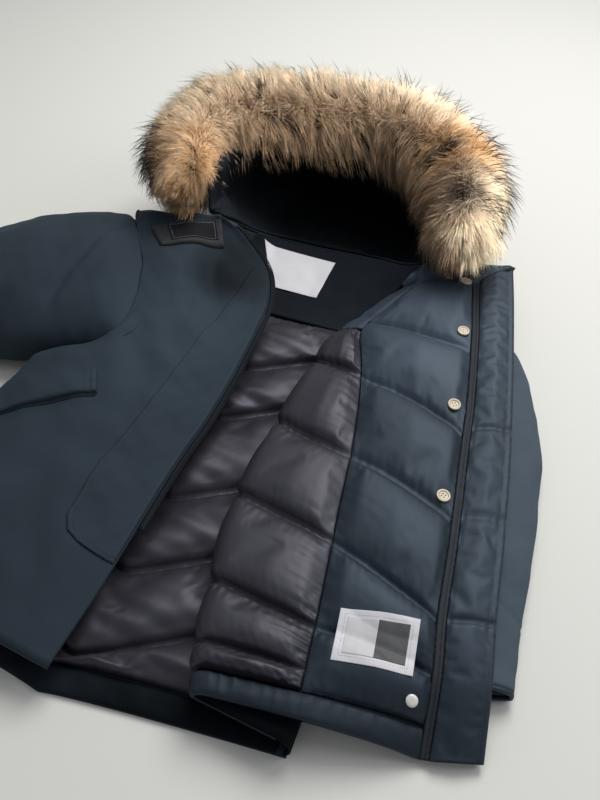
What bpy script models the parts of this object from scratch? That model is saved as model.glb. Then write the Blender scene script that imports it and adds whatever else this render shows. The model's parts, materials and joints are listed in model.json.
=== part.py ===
"""Fur trimmed down parka, laid on its back with its left front folded open.

The frame: +Z up, +Y from the hem to the hood along the centre back, +X to the wearer's left.
The origin is on the underside of the back, halfway down it. Tables are in millimetres.
Every panel is a wall between two grids that are worked out from the same reference surface.
"""

import math

import bpy
import numpy as np
from mathutils import Vector
from mathutils.bvhtree import BVHTree

MM = 0.001
GAP = 0.3
SHELL = 1.8
BACK_WALL = 1.6
BACK_TOP = BACK_WALL + GAP

NAVY = (0.042, 0.055, 0.073)
NAVY_SATIN = (0.036, 0.048, 0.068)
LINING_BLACK = (0.055, 0.055, 0.068)
FUR = (0.50, 0.37, 0.25)
IVORY = (0.78, 0.73, 0.62)
WHITE = (0.75, 0.75, 0.77)
DARK = (0.015, 0.016, 0.018)


# ---------------------------------------------------------------- tables and curves
def table(names, *rows):
    """Rows of numbers as a dictionary of columns."""
    columns = names.split()
    return {name: np.array([row[i] for row in rows], float) for i, name in enumerate(columns)}


def smooth(keys, values, at):
    """The value at a place between the keys, on an even curve that never overshoots the values."""
    at = np.clip(np.asarray(at, float), keys[0], keys[-1])
    i = np.clip(np.searchsorted(keys, at, side="right") - 1, 0, len(keys) - 2)
    steps = np.diff(values) / np.diff(keys)
    before = np.concatenate([steps[:1], steps])
    after = np.concatenate([steps, steps[-1:]])
    slope = np.gradient(values, keys)
    most = 2 * np.minimum(np.abs(before), np.abs(after)) * (before * after > 0)
    slope = np.clip(slope, -most, most)
    span = keys[i + 1] - keys[i]
    w = (at - keys[i]) / span
    rise = values[i + 1] - values[i]
    a = slope[i] * span - rise
    b = rise - slope[i + 1] * span
    return (1 - w) * values[i] + w * values[i + 1] + w * (1 - w) * (a * (1 - w) + b * w)


def read(columns, name, at):
    """A named column of a table at a place along its first column."""
    keys = next(iter(columns.values()))
    return smooth(keys, columns[name], at)


def point(columns, prefix, at):
    """Three columns, such as ex, ey and ez, as points."""
    return np.stack([read(columns, prefix + axis, at) for axis in "xyz"], -1)


def mix(a, b, w):
    return a + (b - a) * w


# ---------------------------------------------------------------- bodies
def finish(name, vertices, faces, colour, roughness=0.6, metallic=0.0):
    """A named body with a material of its own, smooth where it bends gently."""
    mesh = bpy.data.meshes.new(name)
    mesh.from_pydata([tuple(v) for v in np.asarray(vertices, float) * MM], [], faces)
    mesh.validate()
    mesh.shade_smooth()
    mesh.set_sharp_from_angle(angle=math.radians(40))
    body = bpy.data.objects.new(name, mesh)
    material = bpy.data.materials.new(name)
    material.use_nodes = True
    shader = material.node_tree.nodes["Principled BSDF"]
    shader.inputs["Base Color"].default_value = (*colour, 1.0)
    shader.inputs["Roughness"].default_value = roughness
    shader.inputs["Metallic"].default_value = metallic
    mesh.materials.append(material)
    PARKA.objects.link(body)
    return body


def normals(grid, closed=False):
    """Unit normals of a grid of points, from its rows crossed with its columns."""
    down = np.gradient(grid, axis=0)
    if closed:
        across = np.roll(grid, -1, axis=1) - np.roll(grid, 1, axis=1)
    else:
        across = np.gradient(grid, axis=1)
    found = np.cross(across, down)
    return found / np.maximum(np.linalg.norm(found, axis=-1, keepdims=True), 1e-9)


def lifted(grid, height, closed=False):
    """The grid moved out along its normals, by one height or by one for each point."""
    height = np.broadcast_to(np.asarray(height, float), grid.shape[:2])
    return grid + normals(grid, closed) * height[..., None]


def wall(name, upper, lower, colour, roughness=0.6, closed=False):
    """A closed body between two grids with the same rows and columns; a closed one is a tube."""
    rows, columns = upper.shape[:2]
    count = rows * columns
    vertices = np.concatenate([upper.reshape(-1, 3), lower.reshape(-1, 3)])
    last = columns if closed else columns - 1
    faces = []
    for r in range(rows - 1):
        for c in range(last):
            a = r * columns + c
            b = r * columns + (c + 1) % columns
            faces.append((a, b, b + columns))
            faces.append((a, b + columns, a + columns))
            faces.append((a + count, b + columns + count, b + count))
            faces.append((a + count, a + columns + count, b + columns + count))
    for c in range(last):
        d = (c + 1) % columns
        faces.append((c, c + count, d + count, d))
        e = (rows - 1) * columns
        faces.append((e + c, e + d, e + d + count, e + c + count))
    if not closed:
        for r in range(rows - 1):
            a = r * columns
            faces.append((a, a + columns, a + columns + count, a + count))
            b = a + columns - 1
            faces.append((b, b + count, b + columns + count, b + columns))
    return turned_out(finish(name, vertices, faces, colour, roughness))


def turned_out(body):
    """Turns the faces outwards, whichever way the two grids ran."""
    mesh = body.data
    volume = 0.0
    for face in mesh.polygons:
        corners = [mesh.vertices[i].co for i in face.vertices]
        for k in range(1, len(corners) - 1):
            volume += corners[0].dot(corners[k].cross(corners[k + 1]))
    if volume < 0:
        mesh.flip_normals()
    return body


def draped(body, places, lift):
    """Points straight above a body's skin, at places given as rows of x and y."""
    points = [vertex.co.copy() for vertex in body.data.vertices]
    tree = BVHTree.FromPolygons(points, [tuple(face.vertices) for face in body.data.polygons])
    found = np.empty((*places.shape[:2], 3))
    for index in np.ndindex(places.shape[:2]):
        x, y = places[index]
        hit = tree.ray_cast(Vector((x * MM, y * MM, 1)), Vector((0, 0, -1)))[0]
        found[index] = (x, y, hit.z / MM + lift)
    return found


def spread(corners, rows, columns):
    """Rows of x and y that fill four corners, from the first corner across to the second."""
    a, b, c, d = (np.array(corner, float) for corner in corners)
    r = np.linspace(0, 1, rows)[:, None, None]
    s = np.linspace(0, 1, columns)[None, :, None]
    return mix(mix(a, b, s), mix(d, c, s), r)


def laid_on(name, body, places, low, high, colour, roughness=0.6):
    """A thin layer that follows the skin of the body it lies on."""
    lower = draped(body, places, low)
    return wall(name, lower + [0, 0, high - low], lower, colour, roughness)


# ---------------------------------------------------------------- the back
BACK = table(
    "y right left",
    (-386, -288, 251),
    (-200, -282, 247),
    (0, -270, 240),
    (120, -262, 236),
    (240, -250, 231),
    (330, -236, 226),
)
BACK_TOP_Y = 378
SHOULDER_DROP = 58


def hem_y(x):
    """The back's hem curves up a little towards each side."""
    return -386 + 31 * (np.abs(np.asarray(x) + 15) / 265) ** 0.8


def shoulder_y(x):
    w = np.clip((np.abs(x) - 88) / 145, 0, 1)
    return BACK_TOP_Y - SHOULDER_DROP * w * w * (3 - 2 * w)


def back_panel(rows=7, columns=9):
    t = np.linspace(0, 1, rows)[:, None]
    s = np.linspace(0, 1, columns)[None, :]
    middle = mix(-386, 345, t)
    x = mix(read(BACK, "right", middle), read(BACK, "left", middle), s)
    y = mix(hem_y(x), shoulder_y(x), t)
    flat = np.stack([x, y, np.zeros_like(x)], -1)
    wall("back", flat + [0, 0, BACK_WALL], flat, NAVY)


HEM_BAND = 30
LINING_TOP = 241
CHEVRON = 0.62
BACK_QUILT = (-348, -239, -129, 12, 112)
LINING_LOW, LINING_HIGH = 5.0, 18.0


def back_lining(columns=9, steps=4):
    """Quilted lining of the back: each line of stitching rises from the centre to both sides."""
    ends = [248, 247, 246, 243, 240, 236, 231]
    places = [np.linspace(-125, end - 6.5, columns) for end in ends]
    lines = [hem_y(places[0]) + HEM_BAND + GAP]
    for level, x in zip(BACK_QUILT, places[1:]):
        rise = CHEVRON * np.minimum(np.abs(x), 120)
        lines.append(np.maximum(level + rise, lines[-1] + 7))
    lines.append(np.maximum(LINING_TOP, lines[-1] + 9))
    upper = []
    for band in range(len(lines) - 1):
        low, high = lines[band], lines[band + 1]
        for k in range(steps):
            w = k / steps
            puff = math.sin(math.pi * w) ** 0.6
            full = np.clip((high - low) / 70, 0.25, 1)
            z = BACK_TOP + LINING_LOW + (LINING_HIGH - LINING_LOW) * puff * full
            upper.append(np.stack([mix(places[band], places[band + 1], w), mix(low, high, w), z], -1))
    flat = np.full(columns, BACK_TOP + LINING_LOW)
    upper.append(np.stack([places[-1], lines[-1], flat], -1))
    upper = np.array(upper)
    lower = upper.copy()
    lower[..., 2] = BACK_TOP
    wall("back_lining", upper, lower, LINING_BLACK, 0.35)


def back_hem_facing(columns=11):
    x = np.linspace(-125, 240, columns)
    rows = []
    for w, z in ((0, 3.5), (0.12, 6.5), (0.85, 6.5), (1, 4.5)):
        rows.append(np.stack([x, hem_y(x) + 0.8 + (HEM_BAND - 1) * w, np.full_like(x, BACK_TOP + z)], -1))
    upper = np.array(rows)
    lower = upper.copy()
    lower[..., 2] = BACK_TOP
    wall("back_hem_facing", upper, lower, NAVY_SATIN, 0.5)


# ---------------------------------------------------------------- the hood
NECK = table(
    "u x y z",
    (0.0, -113.0, 301.5, 121),
    (0.12, -105.2, 335.5, 90.5),
    (0.25, -85, 372, 54),
    (0.38, -48, 394, 33),
    (0.5, 0, 399, 29),
    (0.62, 60, 396, 33),
    (0.75, 118, 384, 44),
    (0.88, 172, 366, 60),
    (1.0, 236, 372, 84),
)
FUR_ROLL = table(
    "u x y z r lean",
    (0.0, -178, 306, 167, 46, 8),
    (0.1, -203, 354, 166, 60, 12),
    (0.2, -224, 421, 165, 66, 22),
    (0.3, -206, 503, 168, 70, 40),
    (0.42, -125, 548, 170, 72, 54),
    (0.53, -36, 571, 170, 73, 58),
    (0.64, 58, 575, 170, 73, 60),
    (0.76, 146, 540, 165, 73, 60),
    (0.86, 207, 478, 157, 71, 60),
    (0.94, 233, 420, 148, 63, 62),
    (1.0, 238, 376, 142, 50, 64),
)
BASE = table(
    "u x y z",
    (0.0, -118, 306, 122),
    (0.12, -122, 352, 84),
    (0.25, -112, 404, 30),
    (0.38, -62, 440, 4),
    (0.5, -8, 450, 3),
    (0.62, 62, 448, 3),
    (0.75, 128, 432, 8),
    (0.88, 188, 402, 34),
    (1.0, 240, 380, 82),
)
POUCH = table(
    "u x y z",
    (0.0, -124, 304, 126),
    (0.12, -150, 372, 100),
    (0.25, -172, 462, 48),
    (0.38, -138, 542, 8),
    (0.5, -52, 582, 4),
    (0.62, 52, 588, 4),
    (0.75, 146, 552, 8),
    (0.88, 218, 462, 34),
    (1.0, 244, 388, 80),
)


def roll_frame(u):
    """Centre of the fur roll, its radius, and the level direction towards the inside of the hood."""
    centre = point(FUR_ROLL, "", u)
    along = point(FUR_ROLL, "", np.minimum(u + 0.01, 1)) - point(FUR_ROLL, "", np.maximum(u - 0.01, 0))
    inward = np.stack([along[..., 1], -along[..., 0], np.zeros_like(u)], -1)
    inward /= np.linalg.norm(inward, axis=-1, keepdims=True)
    return centre, read(FUR_ROLL, "r", u), inward


def rim(u):
    """The hood's front edge: it touches the roll on its inner, lower side."""
    centre, radius, inward = roll_frame(u)
    lean = np.radians(read(FUR_ROLL, "lean", u))
    reach = (radius + 3.0)[..., None]
    down = np.array([0, 0, -1.0])
    return centre + reach * (np.cos(lean)[..., None] * inward + np.sin(lean)[..., None] * down)


def hood_surface(u, v):
    """The seam between hood shell and hood lining: neck at v 0, over the floor, rim at v 1."""
    u, v = np.broadcast_arrays(np.asarray(u, float), np.asarray(v, float))
    stops = np.stack([point(NECK, "", u), point(BASE, "", u), point(POUCH, "", u), rim(u)])
    keys = np.array([0.0, 0.3, 0.66, 1.0])
    k = np.clip(np.searchsorted(keys, v, side="right") - 1, 0, 2)
    w = ((v - keys[k]) / (keys[k + 1] - keys[k]))[..., None]
    slopes = np.gradient(stops, keys, axis=0)
    near = np.take_along_axis(stops, k[None, ..., None], 0)[0]
    far = np.take_along_axis(stops, k[None, ..., None] + 1, 0)[0]
    near_slope = np.take_along_axis(slopes, k[None, ..., None], 0)[0]
    far_slope = np.take_along_axis(slopes, k[None, ..., None] + 1, 0)[0]
    span = (keys[k + 1] - keys[k])[..., None]
    a = 0.7 * near_slope * span - (far - near)
    b = (far - near) - 0.7 * far_slope * span
    found = mix(near, far, w) + w * (1 - w) * (a * (1 - w) + b * w)
    found[..., 2] = np.maximum(found[..., 2], 2.3)
    return found


HOOD_LINING = 5.0


def hood(rows=8, columns=15):
    u = np.linspace(0.015, 0.985, columns)[None, :]
    v = np.linspace(0.02, 1, rows)[:, None]
    seam = hood_surface(u, v)
    inside = normals(seam)
    if inside[rows // 2, columns // 2, 2] < 0:
        inside = -inside
    wall("hood", seam - inside * GAP / 2, seam - inside * (GAP / 2 + SHELL), NAVY)
    thick = HOOD_LINING * np.ones(seam.shape[:2])
    thick[0] = 2.0
    thick[-1] = 2.5
    within = seam + inside * (GAP / 2 + thick[..., None])
    wall("hood_lining", within, seam + inside * GAP / 2, NAVY_SATIN, 0.5)


def fur_trim(rings=15, sides=12):
    """The reach of the fur: a soft roll round the hood's opening, closed at both ends."""
    u = np.linspace(0, 1, rings)
    centre, radius, inward = roll_frame(u)
    radius = radius * np.minimum(1, 0.62 + 9 * np.minimum(u, 1 - u))
    turn = np.linspace(0, 2 * math.pi, sides, endpoint=False)
    up = np.array([0, 0, 1.0])
    spokes = np.cos(turn)[None, :, None] * inward[:, None] + np.sin(turn)[None, :, None] * up
    skin = centre[:, None] + radius[:, None, None] * spokes
    vertices = list(skin.reshape(-1, 3))
    faces = []
    for r in range(rings - 1):
        for c in range(sides):
            a = r * sides + c
            b = r * sides + (c + 1) % sides
            faces.append((a, b, b + sides, a + sides))
    for r, way in ((0, -1), (rings - 1, 1)):
        tip = len(vertices)
        along = centre[r] - centre[r - way]
        vertices.append(centre[r] + along / np.linalg.norm(along) * radius[r] * 0.45)
        for c in range(sides):
            faces.append((tip, r * sides + c, r * sides + (c + 1) % sides)[::way])
    return turned_out(finish("fur_trim", vertices, faces, FUR, 0.9))


# ---------------------------------------------------------------- the neck facing
def neck_surface(u, v):
    """Top of the padded facing across the back of the neck; u from right to left, v up."""
    u, v = np.broadcast_arrays(np.asarray(u, float), np.asarray(v, float))
    top = point(NECK, "", mix(0.25, 0.915, u))
    top[..., 1] -= 2.3
    low = np.stack([mix(-118, 103, u), np.full_like(u, LINING_TOP + 0.4), np.full_like(u, BACK_TOP + 6)], -1)
    found = mix(low, top, v[..., None])
    found[..., 2] = mix(low[..., 2], top[..., 2], v ** (1 + 0.6 * u)) + 5 * np.sin(math.pi * v) * (1 - u)
    return found


def back_neck_facing(rows=8, columns=9):
    u = np.linspace(0, 1, columns)[None, :]
    v = np.linspace(0, 1, rows)[:, None]
    upper = neck_surface(u, v)
    lower = upper - np.array([0, 0, 1.0]) * (4 + 3 * np.sin(math.pi * v) * np.ones_like(u))[..., None]
    lower[..., 2] = np.maximum(lower[..., 2], BACK_TOP)
    return wall("back_neck_facing", upper, lower, NAVY_SATIN, 0.5)


def neck_label(body, rows=5, columns=7):
    places = spread(((-31, 291), (45, 291), (49, 369), (-74, 371)), rows, columns)
    laid_on("neck_label", body, places, 0.9, 1.7, WHITE, 0.4)


# ---------------------------------------------------------------- the right front and right sleeve
ARMHOLE = table(
    "w x y z",
    (0.0, -262, 304, 34),
    (0.12, -250, 280, 94),
    (0.3, -214, 226, 109),
    (0.5, -178, 172, 102),
    (0.7, -155, 112, 96),
    (0.88, -149, 54, 88),
    (1.0, -172, 22, 42),
)
# One row for each level from the hem up: the front edge, the heights a quarter, half and three
# quarters of the way across, then the side. Below the armhole the side folds under to the floor.
RIGHT = table(
    "q ex ey ez h25 h50 h75 tx ty tz dx dy dz fx fy fz",
    (0, 0, -373, 42, 56, 64, 62, -268, -358, 48, -290, -357, 24, -285, -356, 2),
    (1, 9, -250, 52, 68, 76, 74, -264, -240, 58, -287, -238, 30, -280, -237, 2),
    (2, 10, -112, 55, 76, 84, 80, -258, -98, 64, -282, -96, 34, -276, -95, 2),
    (3, 15, -20, 56, 79, 86, 82, -252, -12, 62, -276, -10, 34, -270, -9, 2),
    (4, 15, 40, 57, 80, 88, 90, -165, 40, 83, -161, 38, 79, -158, 36, 74),
    (5, 13, 85, 58, 80, 92, 94, -153, 64, 90.5, -151, 62, 90, -148, 60, 89.5),
    (6, 10, 140, 60, 80, 94, 98, -160, 116, 96.5, -157, 115, 96.2, -154, 114, 96),
    (7, 2, 205, 62, 80, 96, 104, -182, 176, 102.5, -179, 175, 102.2, -176, 174, 102),
    (8, -22, 259, 76, 90, 102, 108, -216, 226, 106.5, -213, 225, 106.2, -210, 224, 106),
    (9, -75, 289, 108, 111, 114, 114, -246, 272, 106, -243.5, 271, 104, -241, 270, 102),
    (10, -114, 302, 122, 116, 111, 108, -256, 296, 100, -255, 296, 97, -254, 296, 94),
    (11, -124, 322, 96, 88, 82, 76, -260, 318, 62, -259, 318, 59, -258, 318, 56),
    (12, -128, 346, 52, 46, 40, 34, -260, 338, 24, -260, 338, 21, -258, 338, 18),
)
SECTION = np.array([0, 0.06, 0.25, 0.5, 0.75, 1.0])


def right_surface(s, q):
    """Outside of the right front: s from the front edge (0) across to the side (1), q up from the hem."""
    s, q = np.broadcast_arrays(np.asarray(s, float), np.asarray(q, float))
    edge = point(RIGHT, "e", q)
    side = point(RIGHT, "t", q)
    found = mix(edge, side, s[..., None])
    heights = np.stack([edge[..., 2], *(read(RIGHT, h, q) for h in ("h25", "h50", "h75")), side[..., 2]])
    keys = np.array([0, 0.25, 0.5, 0.75, 1.0])
    k = np.clip(np.searchsorted(keys, s, side="right") - 1, 0, 3)
    slopes = np.gradient(heights, keys, axis=0)
    pick = lambda of, at: np.take_along_axis(of, at[None], 0)[0]
    w = (s - keys[k]) / 0.25
    rise = pick(heights, k + 1) - pick(heights, k)
    a = pick(slopes, k) * 0.25 - rise
    b = rise - pick(slopes, k + 1) * 0.25
    found[..., 2] = pick(heights, k) + w * rise + w * (1 - w) * (a * (1 - w) + b * w)
    return found


RIGHT_ROWS = 19


def right_front():
    q = np.linspace(0, 12, RIGHT_ROWS)[:, None]
    across = right_surface(SECTION[None, :], q)
    down = point(RIGHT, "d", q)
    foot = point(RIGHT, "f", q)
    skin = np.concatenate([across, down, foot], axis=1)
    out = normals(skin)
    if out[2, 2, 2] < 0:
        out = -out
    shell = wall("right_front", skin, skin - out * SHELL, NAVY)
    thick = np.full(skin.shape[:2], 11.0)
    thick[:, 0] = 5.0
    thick[0] = 5.0
    thick[-6:, -3:] = 4.0
    top = SHELL + GAP
    inner = skin - out * (top + thick[..., None])
    wall("right_front_lining", skin - out * top, inner, LINING_BLACK, 0.35)
    return shell


FLY = table(
    "y left",
    (-250, -4),
    (-246, -36),
    (-238, -54),
    (-221, -65),
    (-145, -67),
    (-101, -60),
    (-23, -54),
    (56, -47),
    (156, -42),
    (262, -40),
)


def right_fly(front, columns=5):
    """The stitched-down layer along the front edge that covers the zip, curved in at its foot."""
    levels = (-250, -246, -238, -221, -183, -145, -101, -62, -23, 16, 56, 106, 156, 209, 250)
    places = []
    for y in levels:
        right = np.interp(y, RIGHT["ey"][:9], RIGHT["ex"][:9]) - 1.6
        left = np.interp(y, FLY["y"], FLY["left"])
        places.append([(mix(left, right, w), y) for w in np.linspace(0, 1, columns)])
    laid_on("right_fly", front, np.array(places), 2.0, 3.4, NAVY)


def right_zip_tape():
    """The zip's tape and teeth: a strip along the front edge from the fly's foot to the neck."""
    q = np.linspace(0, 12, RIGHT_ROWS)[2:15]
    edge = point(RIGHT, "e", q)
    out = normals(right_surface(np.array([[0, 0.04]]), q[:, None]))[:, 0]
    out *= np.sign(out[:, 2:3])
    away = edge - point(RIGHT, "t", q)
    away /= np.linalg.norm(away, axis=-1, keepdims=True)
    profile = ((0.8, 0.0), (7.5, -1.0), (7.5, -3.0), (0.8, -2.0))
    corners = [edge + away * a + out * (b - 0.4) for a, b in profile]
    upper = np.stack([corners[0], corners[1]], axis=1)
    lower = np.stack([corners[3], corners[2]], axis=1)
    wall("right_zip_tape", upper, lower, DARK, 0.5)


def right_details(front):
    """The hand pocket's slanted welt, the tab across the throat and its label."""
    welt = spread(((-252, -90), (-141, -23), (-121, -57), (-232, -124)), 4, 8)
    laid_on("pocket_welt", front, welt, 1.4, 4.0, NAVY)
    tab = laid_on("throat_tab", front, spread(TAB, 4, 8), 1.0, 4.0, NAVY)
    laid_on("throat_tab_label", tab, spread(TAB_LABEL, 5, 7), 1.3, 2.1, DARK)


TAB = ((-202, 250), (-112, 291), (-90, 266), (-172, 217))
TAB_LABEL = ((-172, 257), (-113, 284), (-98, 266), (-152, 236))


def right_sleeve_rings():
    """Rings of the right sleeve: the armhole first, then sections that turn towards the cuff."""
    turn = np.linspace(0, 2 * math.pi, SLEEVE_SIDES, endpoint=False)
    w = (1 - np.cos(turn)) / 2
    top = point(ARMHOLE, "", w)
    first = np.array([-262, 304, 4.0])
    last = np.array([-176, 22, 4.0])
    bottom = mix(first, last, w[:, None])
    start = np.where((turn <= math.pi + 1e-6)[:, None], top, bottom)
    start[0, 2] = 20
    start[SLEEVE_SIDES // 2] = (-176, 22, 32)
    start = start - np.array([5.0, 0.5, 0])
    return [start] + ovals(RIGHT_SLEEVE)


SLEEVE_SIDES = 16
SLEEVE_WALL = 7.0
# One row for each oval: its centre, half its width, the way the sleeve runs there (degrees from
# -Y towards the outside), its top and its underside.
OVAL = "x y half way top foot"
RIGHT_SLEEVE = table(
    OVAL,
    (-241, 175, 150, -72.5, 120, 2.3),
    (-317, 148.5, 147, -68, 118, 2.3),
    (-411, 107, 133, -60, 102, 0),
    (-482, 34, 106, -36, 76, 0),
    (-512, -60, 80, -16, 60, 0),
    (-530, -184, 66, -8, 54, 0),
)
LEFT_SLEEVE = table(
    OVAL,
    (237.4, 214, 88, 93, 42, 2.3),
    (286, 208, 92, 62, 48, 0),
    (320, 178, 78, 40, 50, 0),
    (342, 78, 82, 10, 49, 0),
    (352, -52, 85, 8, 46, 0),
    (366, -150, 76, 10, 42, 0),
    (388, -232, 61, 14, 36, 0),
)


def ovals(columns):
    """The rings of a sleeve lying on the floor, each flat below and full above."""
    turn = np.linspace(0, 2 * math.pi, SLEEVE_SIDES, endpoint=False)
    rise = np.sin(turn)
    rings = []
    for x, y, half, way, top, foot in zip(*(columns[name] for name in OVAL.split())):
        across = np.array([math.cos(math.radians(way)), math.sin(math.radians(way))])
        across *= -1 if way < 0 else 1
        belly = mix(foot, top, 0.36)
        above = (top - belly) * np.abs(rise) ** 0.85
        below = (belly - foot) * np.abs(rise) ** 0.45
        z = belly + np.where(rise > 0, above, -below)
        flat = np.array([x, y]) + (half * np.cos(turn))[:, None] * across
        rings.append(np.column_stack([flat, z]))
    return rings


def inner_ring(ring, by):
    """The ring's inside wall, the same distance in all round."""
    ahead = np.roll(ring, -1, axis=0) - np.roll(ring, 1, axis=0)
    middle = ring.mean(axis=0)
    normal = np.cross(ring - middle, ahead).mean(axis=0)
    normal /= np.linalg.norm(normal)
    inward = np.cross(normal, ahead)
    inward /= np.linalg.norm(inward, axis=1, keepdims=True)
    towards = ((middle - ring) * inward).sum(axis=1, keepdims=True)
    return ring + inward * np.sign(towards) * by


def sleeve(name, rings):
    """A padded tube, open at the armhole and at the wrist."""
    outer = np.array(rings)
    inner = np.array([inner_ring(ring, SLEEVE_WALL) for ring in rings])
    wall(name, outer, inner, NAVY, closed=True)


def towards(ring, other):
    """The level direction from the middle of one ring to the middle of the other."""
    way = other.mean(axis=0) - ring.mean(axis=0)
    way[2] = 0
    return way / np.linalg.norm(way)


def cuff(name, rings, lip):
    """The turned edge of the sleeve's mouth, a little smaller than the sleeve."""
    start, end = rings[-2], rings[-1]
    way = towards(start, end)
    near = end + way * GAP
    far = end + way * lip
    outer = np.array([near, far])
    inner = np.array([inner_ring(near, SLEEVE_WALL - 2), inner_ring(far, SLEEVE_WALL - 2)])
    wall(name, outer, inner, NAVY, closed=True)


# ---------------------------------------------------------------- the left front
# One row for each level from the hem up. v: where the fold lies on the back lining. s: the seam of
# black lining and navy facing. z: the zip. e: the free edge of the placket. side: where the front
# meets the back. low, turn: heights of the lower layer and of the fold's upper side.
# us, uz, ue: heights of the shell under the seam, the zip and the edge.
LEFT = table(
    "q vx vy sx sy zx zy ex ey side sidey low turn us uz ue",
    (0, 143, -345, 252, -333, 377, -310, 432, -293, 249, -354, 40, 47, 50, 6, 6),
    (1, 121, -279, 242, -264, 368, -239, 421, -226, 248, -286, 34, 43, 49, 40, 40),
    (2, 105, -212, 233, -202, 357, -177, 411, -163, 246, -217, 29, 40, 50, 49, 49),
    (3, 88, -130, 219, -120, 347, -88, 401, -76, 243, -134, 27, 38, 52, 53, 54),
    (4, 84, -40, 203, -18, 332, 22, 386, 36, 240, -44, 27, 38, 53, 56, 57),
    (5, 88, 60, 187, 62, 321, 108, 372, 122, 237, 56, 27, 38, 51, 58, 59),
    (6, 94, 148, 166, 140, 308, 186, 358, 203, 233, 144, 27, 38, 48, 60, 61),
    (7, 104, 212, 144, 212, 296, 250, 346, 268, 231, 208, 27, 38, 45, 62, 63),
    (8, 132, 275, 166, 272, 284, 304, 334, 330, 228, 262, 29, 40, 46, 64, 66),
    (9, 168, 336, 196, 338, 274, 352, 320, 396, 224, 312, 33, 45, 52, 65, 69),
)
TOP = 9.0
BAND_TOP = 0.44
ZIP_HALF = 4.5
UNDER = 10
# Where each line of quilting starts and ends, as levels of the table above.
LINING_QUILT = table(
    "k v s",
    (0, 0.38, 0.38),
    (1, 0.80, 0.66),
    (2, 1.90, 1.40),
    (3, 3.30, 2.80),
    (4, 4.60, 4.00),
    (5, 5.90, 5.75),
    (6, 7.00, 7.00),
)
FACING_QUILT = table(
    "k s z",
    (0, 0.38, 0.38),
    (1, 1.40, 0.96),
    (2, 2.80, 1.85),
    (3, 4.00, 3.20),
    (4, 5.75, 4.40),
    (5, 7.30, 6.30),
    (6, 9.00, 9.00),
)
SKIN_GAP = 0.9
LEFT_LEVELS = (0, 0.18, 0.35, 0.68, 1, 1.5, 2, 2.5, 3, 3.5, 4, 4.5, 5, 5.5, 6, 6.5, 7, 7.5, 8, 8.5, 9)


def seam_line(q):
    """The surface between shell and lining of the left front, from the side fold to the free edge."""
    col = {name: read(LEFT, name, q) for name in LEFT if name != "q"}
    side, vx, low, turn = col["side"], col["vx"], col["low"], col["turn"]
    x = [side - 1, side + 2, side + 5, side + 2, side - 9, mix(side - 9, vx + 34, 0.5), vx + 34]
    z = [3.0, 10, low * 0.5, low - 5, low, low, low]
    x += [vx + 18, vx + 9, vx + 18]
    z += [low, mix(low, turn, 0.5), turn]
    start = vx + 18
    for w, rise in ((0.3, 0.35), (0.65, 0.8), (1, 1)):
        x.append(mix(start, col["sx"], w))
        z.append(mix(turn, col["us"], rise))
    for w in (0.33, 0.67):
        x.append(mix(col["sx"], col["zx"], w))
        z.append(mix(col["us"], col["uz"], w) + 3 * math.sin(math.pi * w))
    x.append(col["zx"] - ZIP_HALF)
    z.append(col["uz"])
    x.append(col["zx"] + ZIP_HALF)
    z.append(col["uz"])
    x += [mix(col["zx"], col["ex"], 0.55), col["ex"]]
    z += [mix(col["uz"], col["ue"], 0.5) + 1, col["ue"]]
    x, z = np.array(x), np.array(z)
    upper_x = [vx, col["sx"], col["zx"], col["ex"]]
    upper_y = np.interp(x, upper_x, [col["vy"], col["sy"], col["zy"], col["ey"]])
    lower_y = np.interp(x, [vx, side], [col["vy"], col["sidey"]])
    y = np.where(np.arange(len(x)) < UNDER - 1, lower_y, upper_y)
    return np.stack([x, y, z], -1)


SEAM_COLUMN, ZIP_COLUMN = 12, 15


def offset(lines, by):
    """A family of seam lines moved to the lining's side, or by less than nothing to the shell's."""
    ahead = np.gradient(lines, axis=1)
    side = np.stack([-ahead[..., 2], np.zeros(ahead.shape[:2]), ahead[..., 0]], -1)
    side /= np.linalg.norm(side, axis=-1, keepdims=True)
    by = np.broadcast_to(np.asarray(by, float), lines.shape[:2])
    return lines + side * by[..., None]


def left_front():
    lines = np.array([seam_line(q) for q in LEFT_LEVELS])
    wall("left_front", offset(lines, -GAP / 2), offset(lines, -GAP / 2 - SHELL), NAVY)


def quilt_rows(lines, first, last, steps):
    """Levels at the start and end of each row, with the place inside its quilted band."""
    found = []
    for low in range(len(lines["k"]) - 1):
        for k in range(steps):
            w = k / steps
            start = mix(lines[first][low], lines[first][low + 1], w)
            end = mix(lines[last][low], lines[last][low + 1], w)
            found.append((start, end, w))
    found.append((lines[first][-1], lines[last][-1], 0.0))
    return found


def skin_on(rows, columns, across, low, high):
    """Grids of a padded skin over the seam surface; across is each column's place from 0 to 1."""
    ground, heights = [], []
    for start, end, w in rows:
        lines = [seam_line(mix(start, end, a)) for a in across]
        ground.append([line[c] for line, c in zip(lines, columns)])
        puff = math.sin(math.pi * w) ** 0.6
        bows = [4 * min(max(a, 0.12), 0.7) * (1 - min(max(a, 0.3), 0.88)) for a in across]
        heights.append([low + (high - low) * puff * bow for bow in bows])
    ground = np.array(ground)
    heights = np.array(heights)
    return offset(ground, SKIN_GAP + heights), offset(ground, SKIN_GAP)


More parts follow.
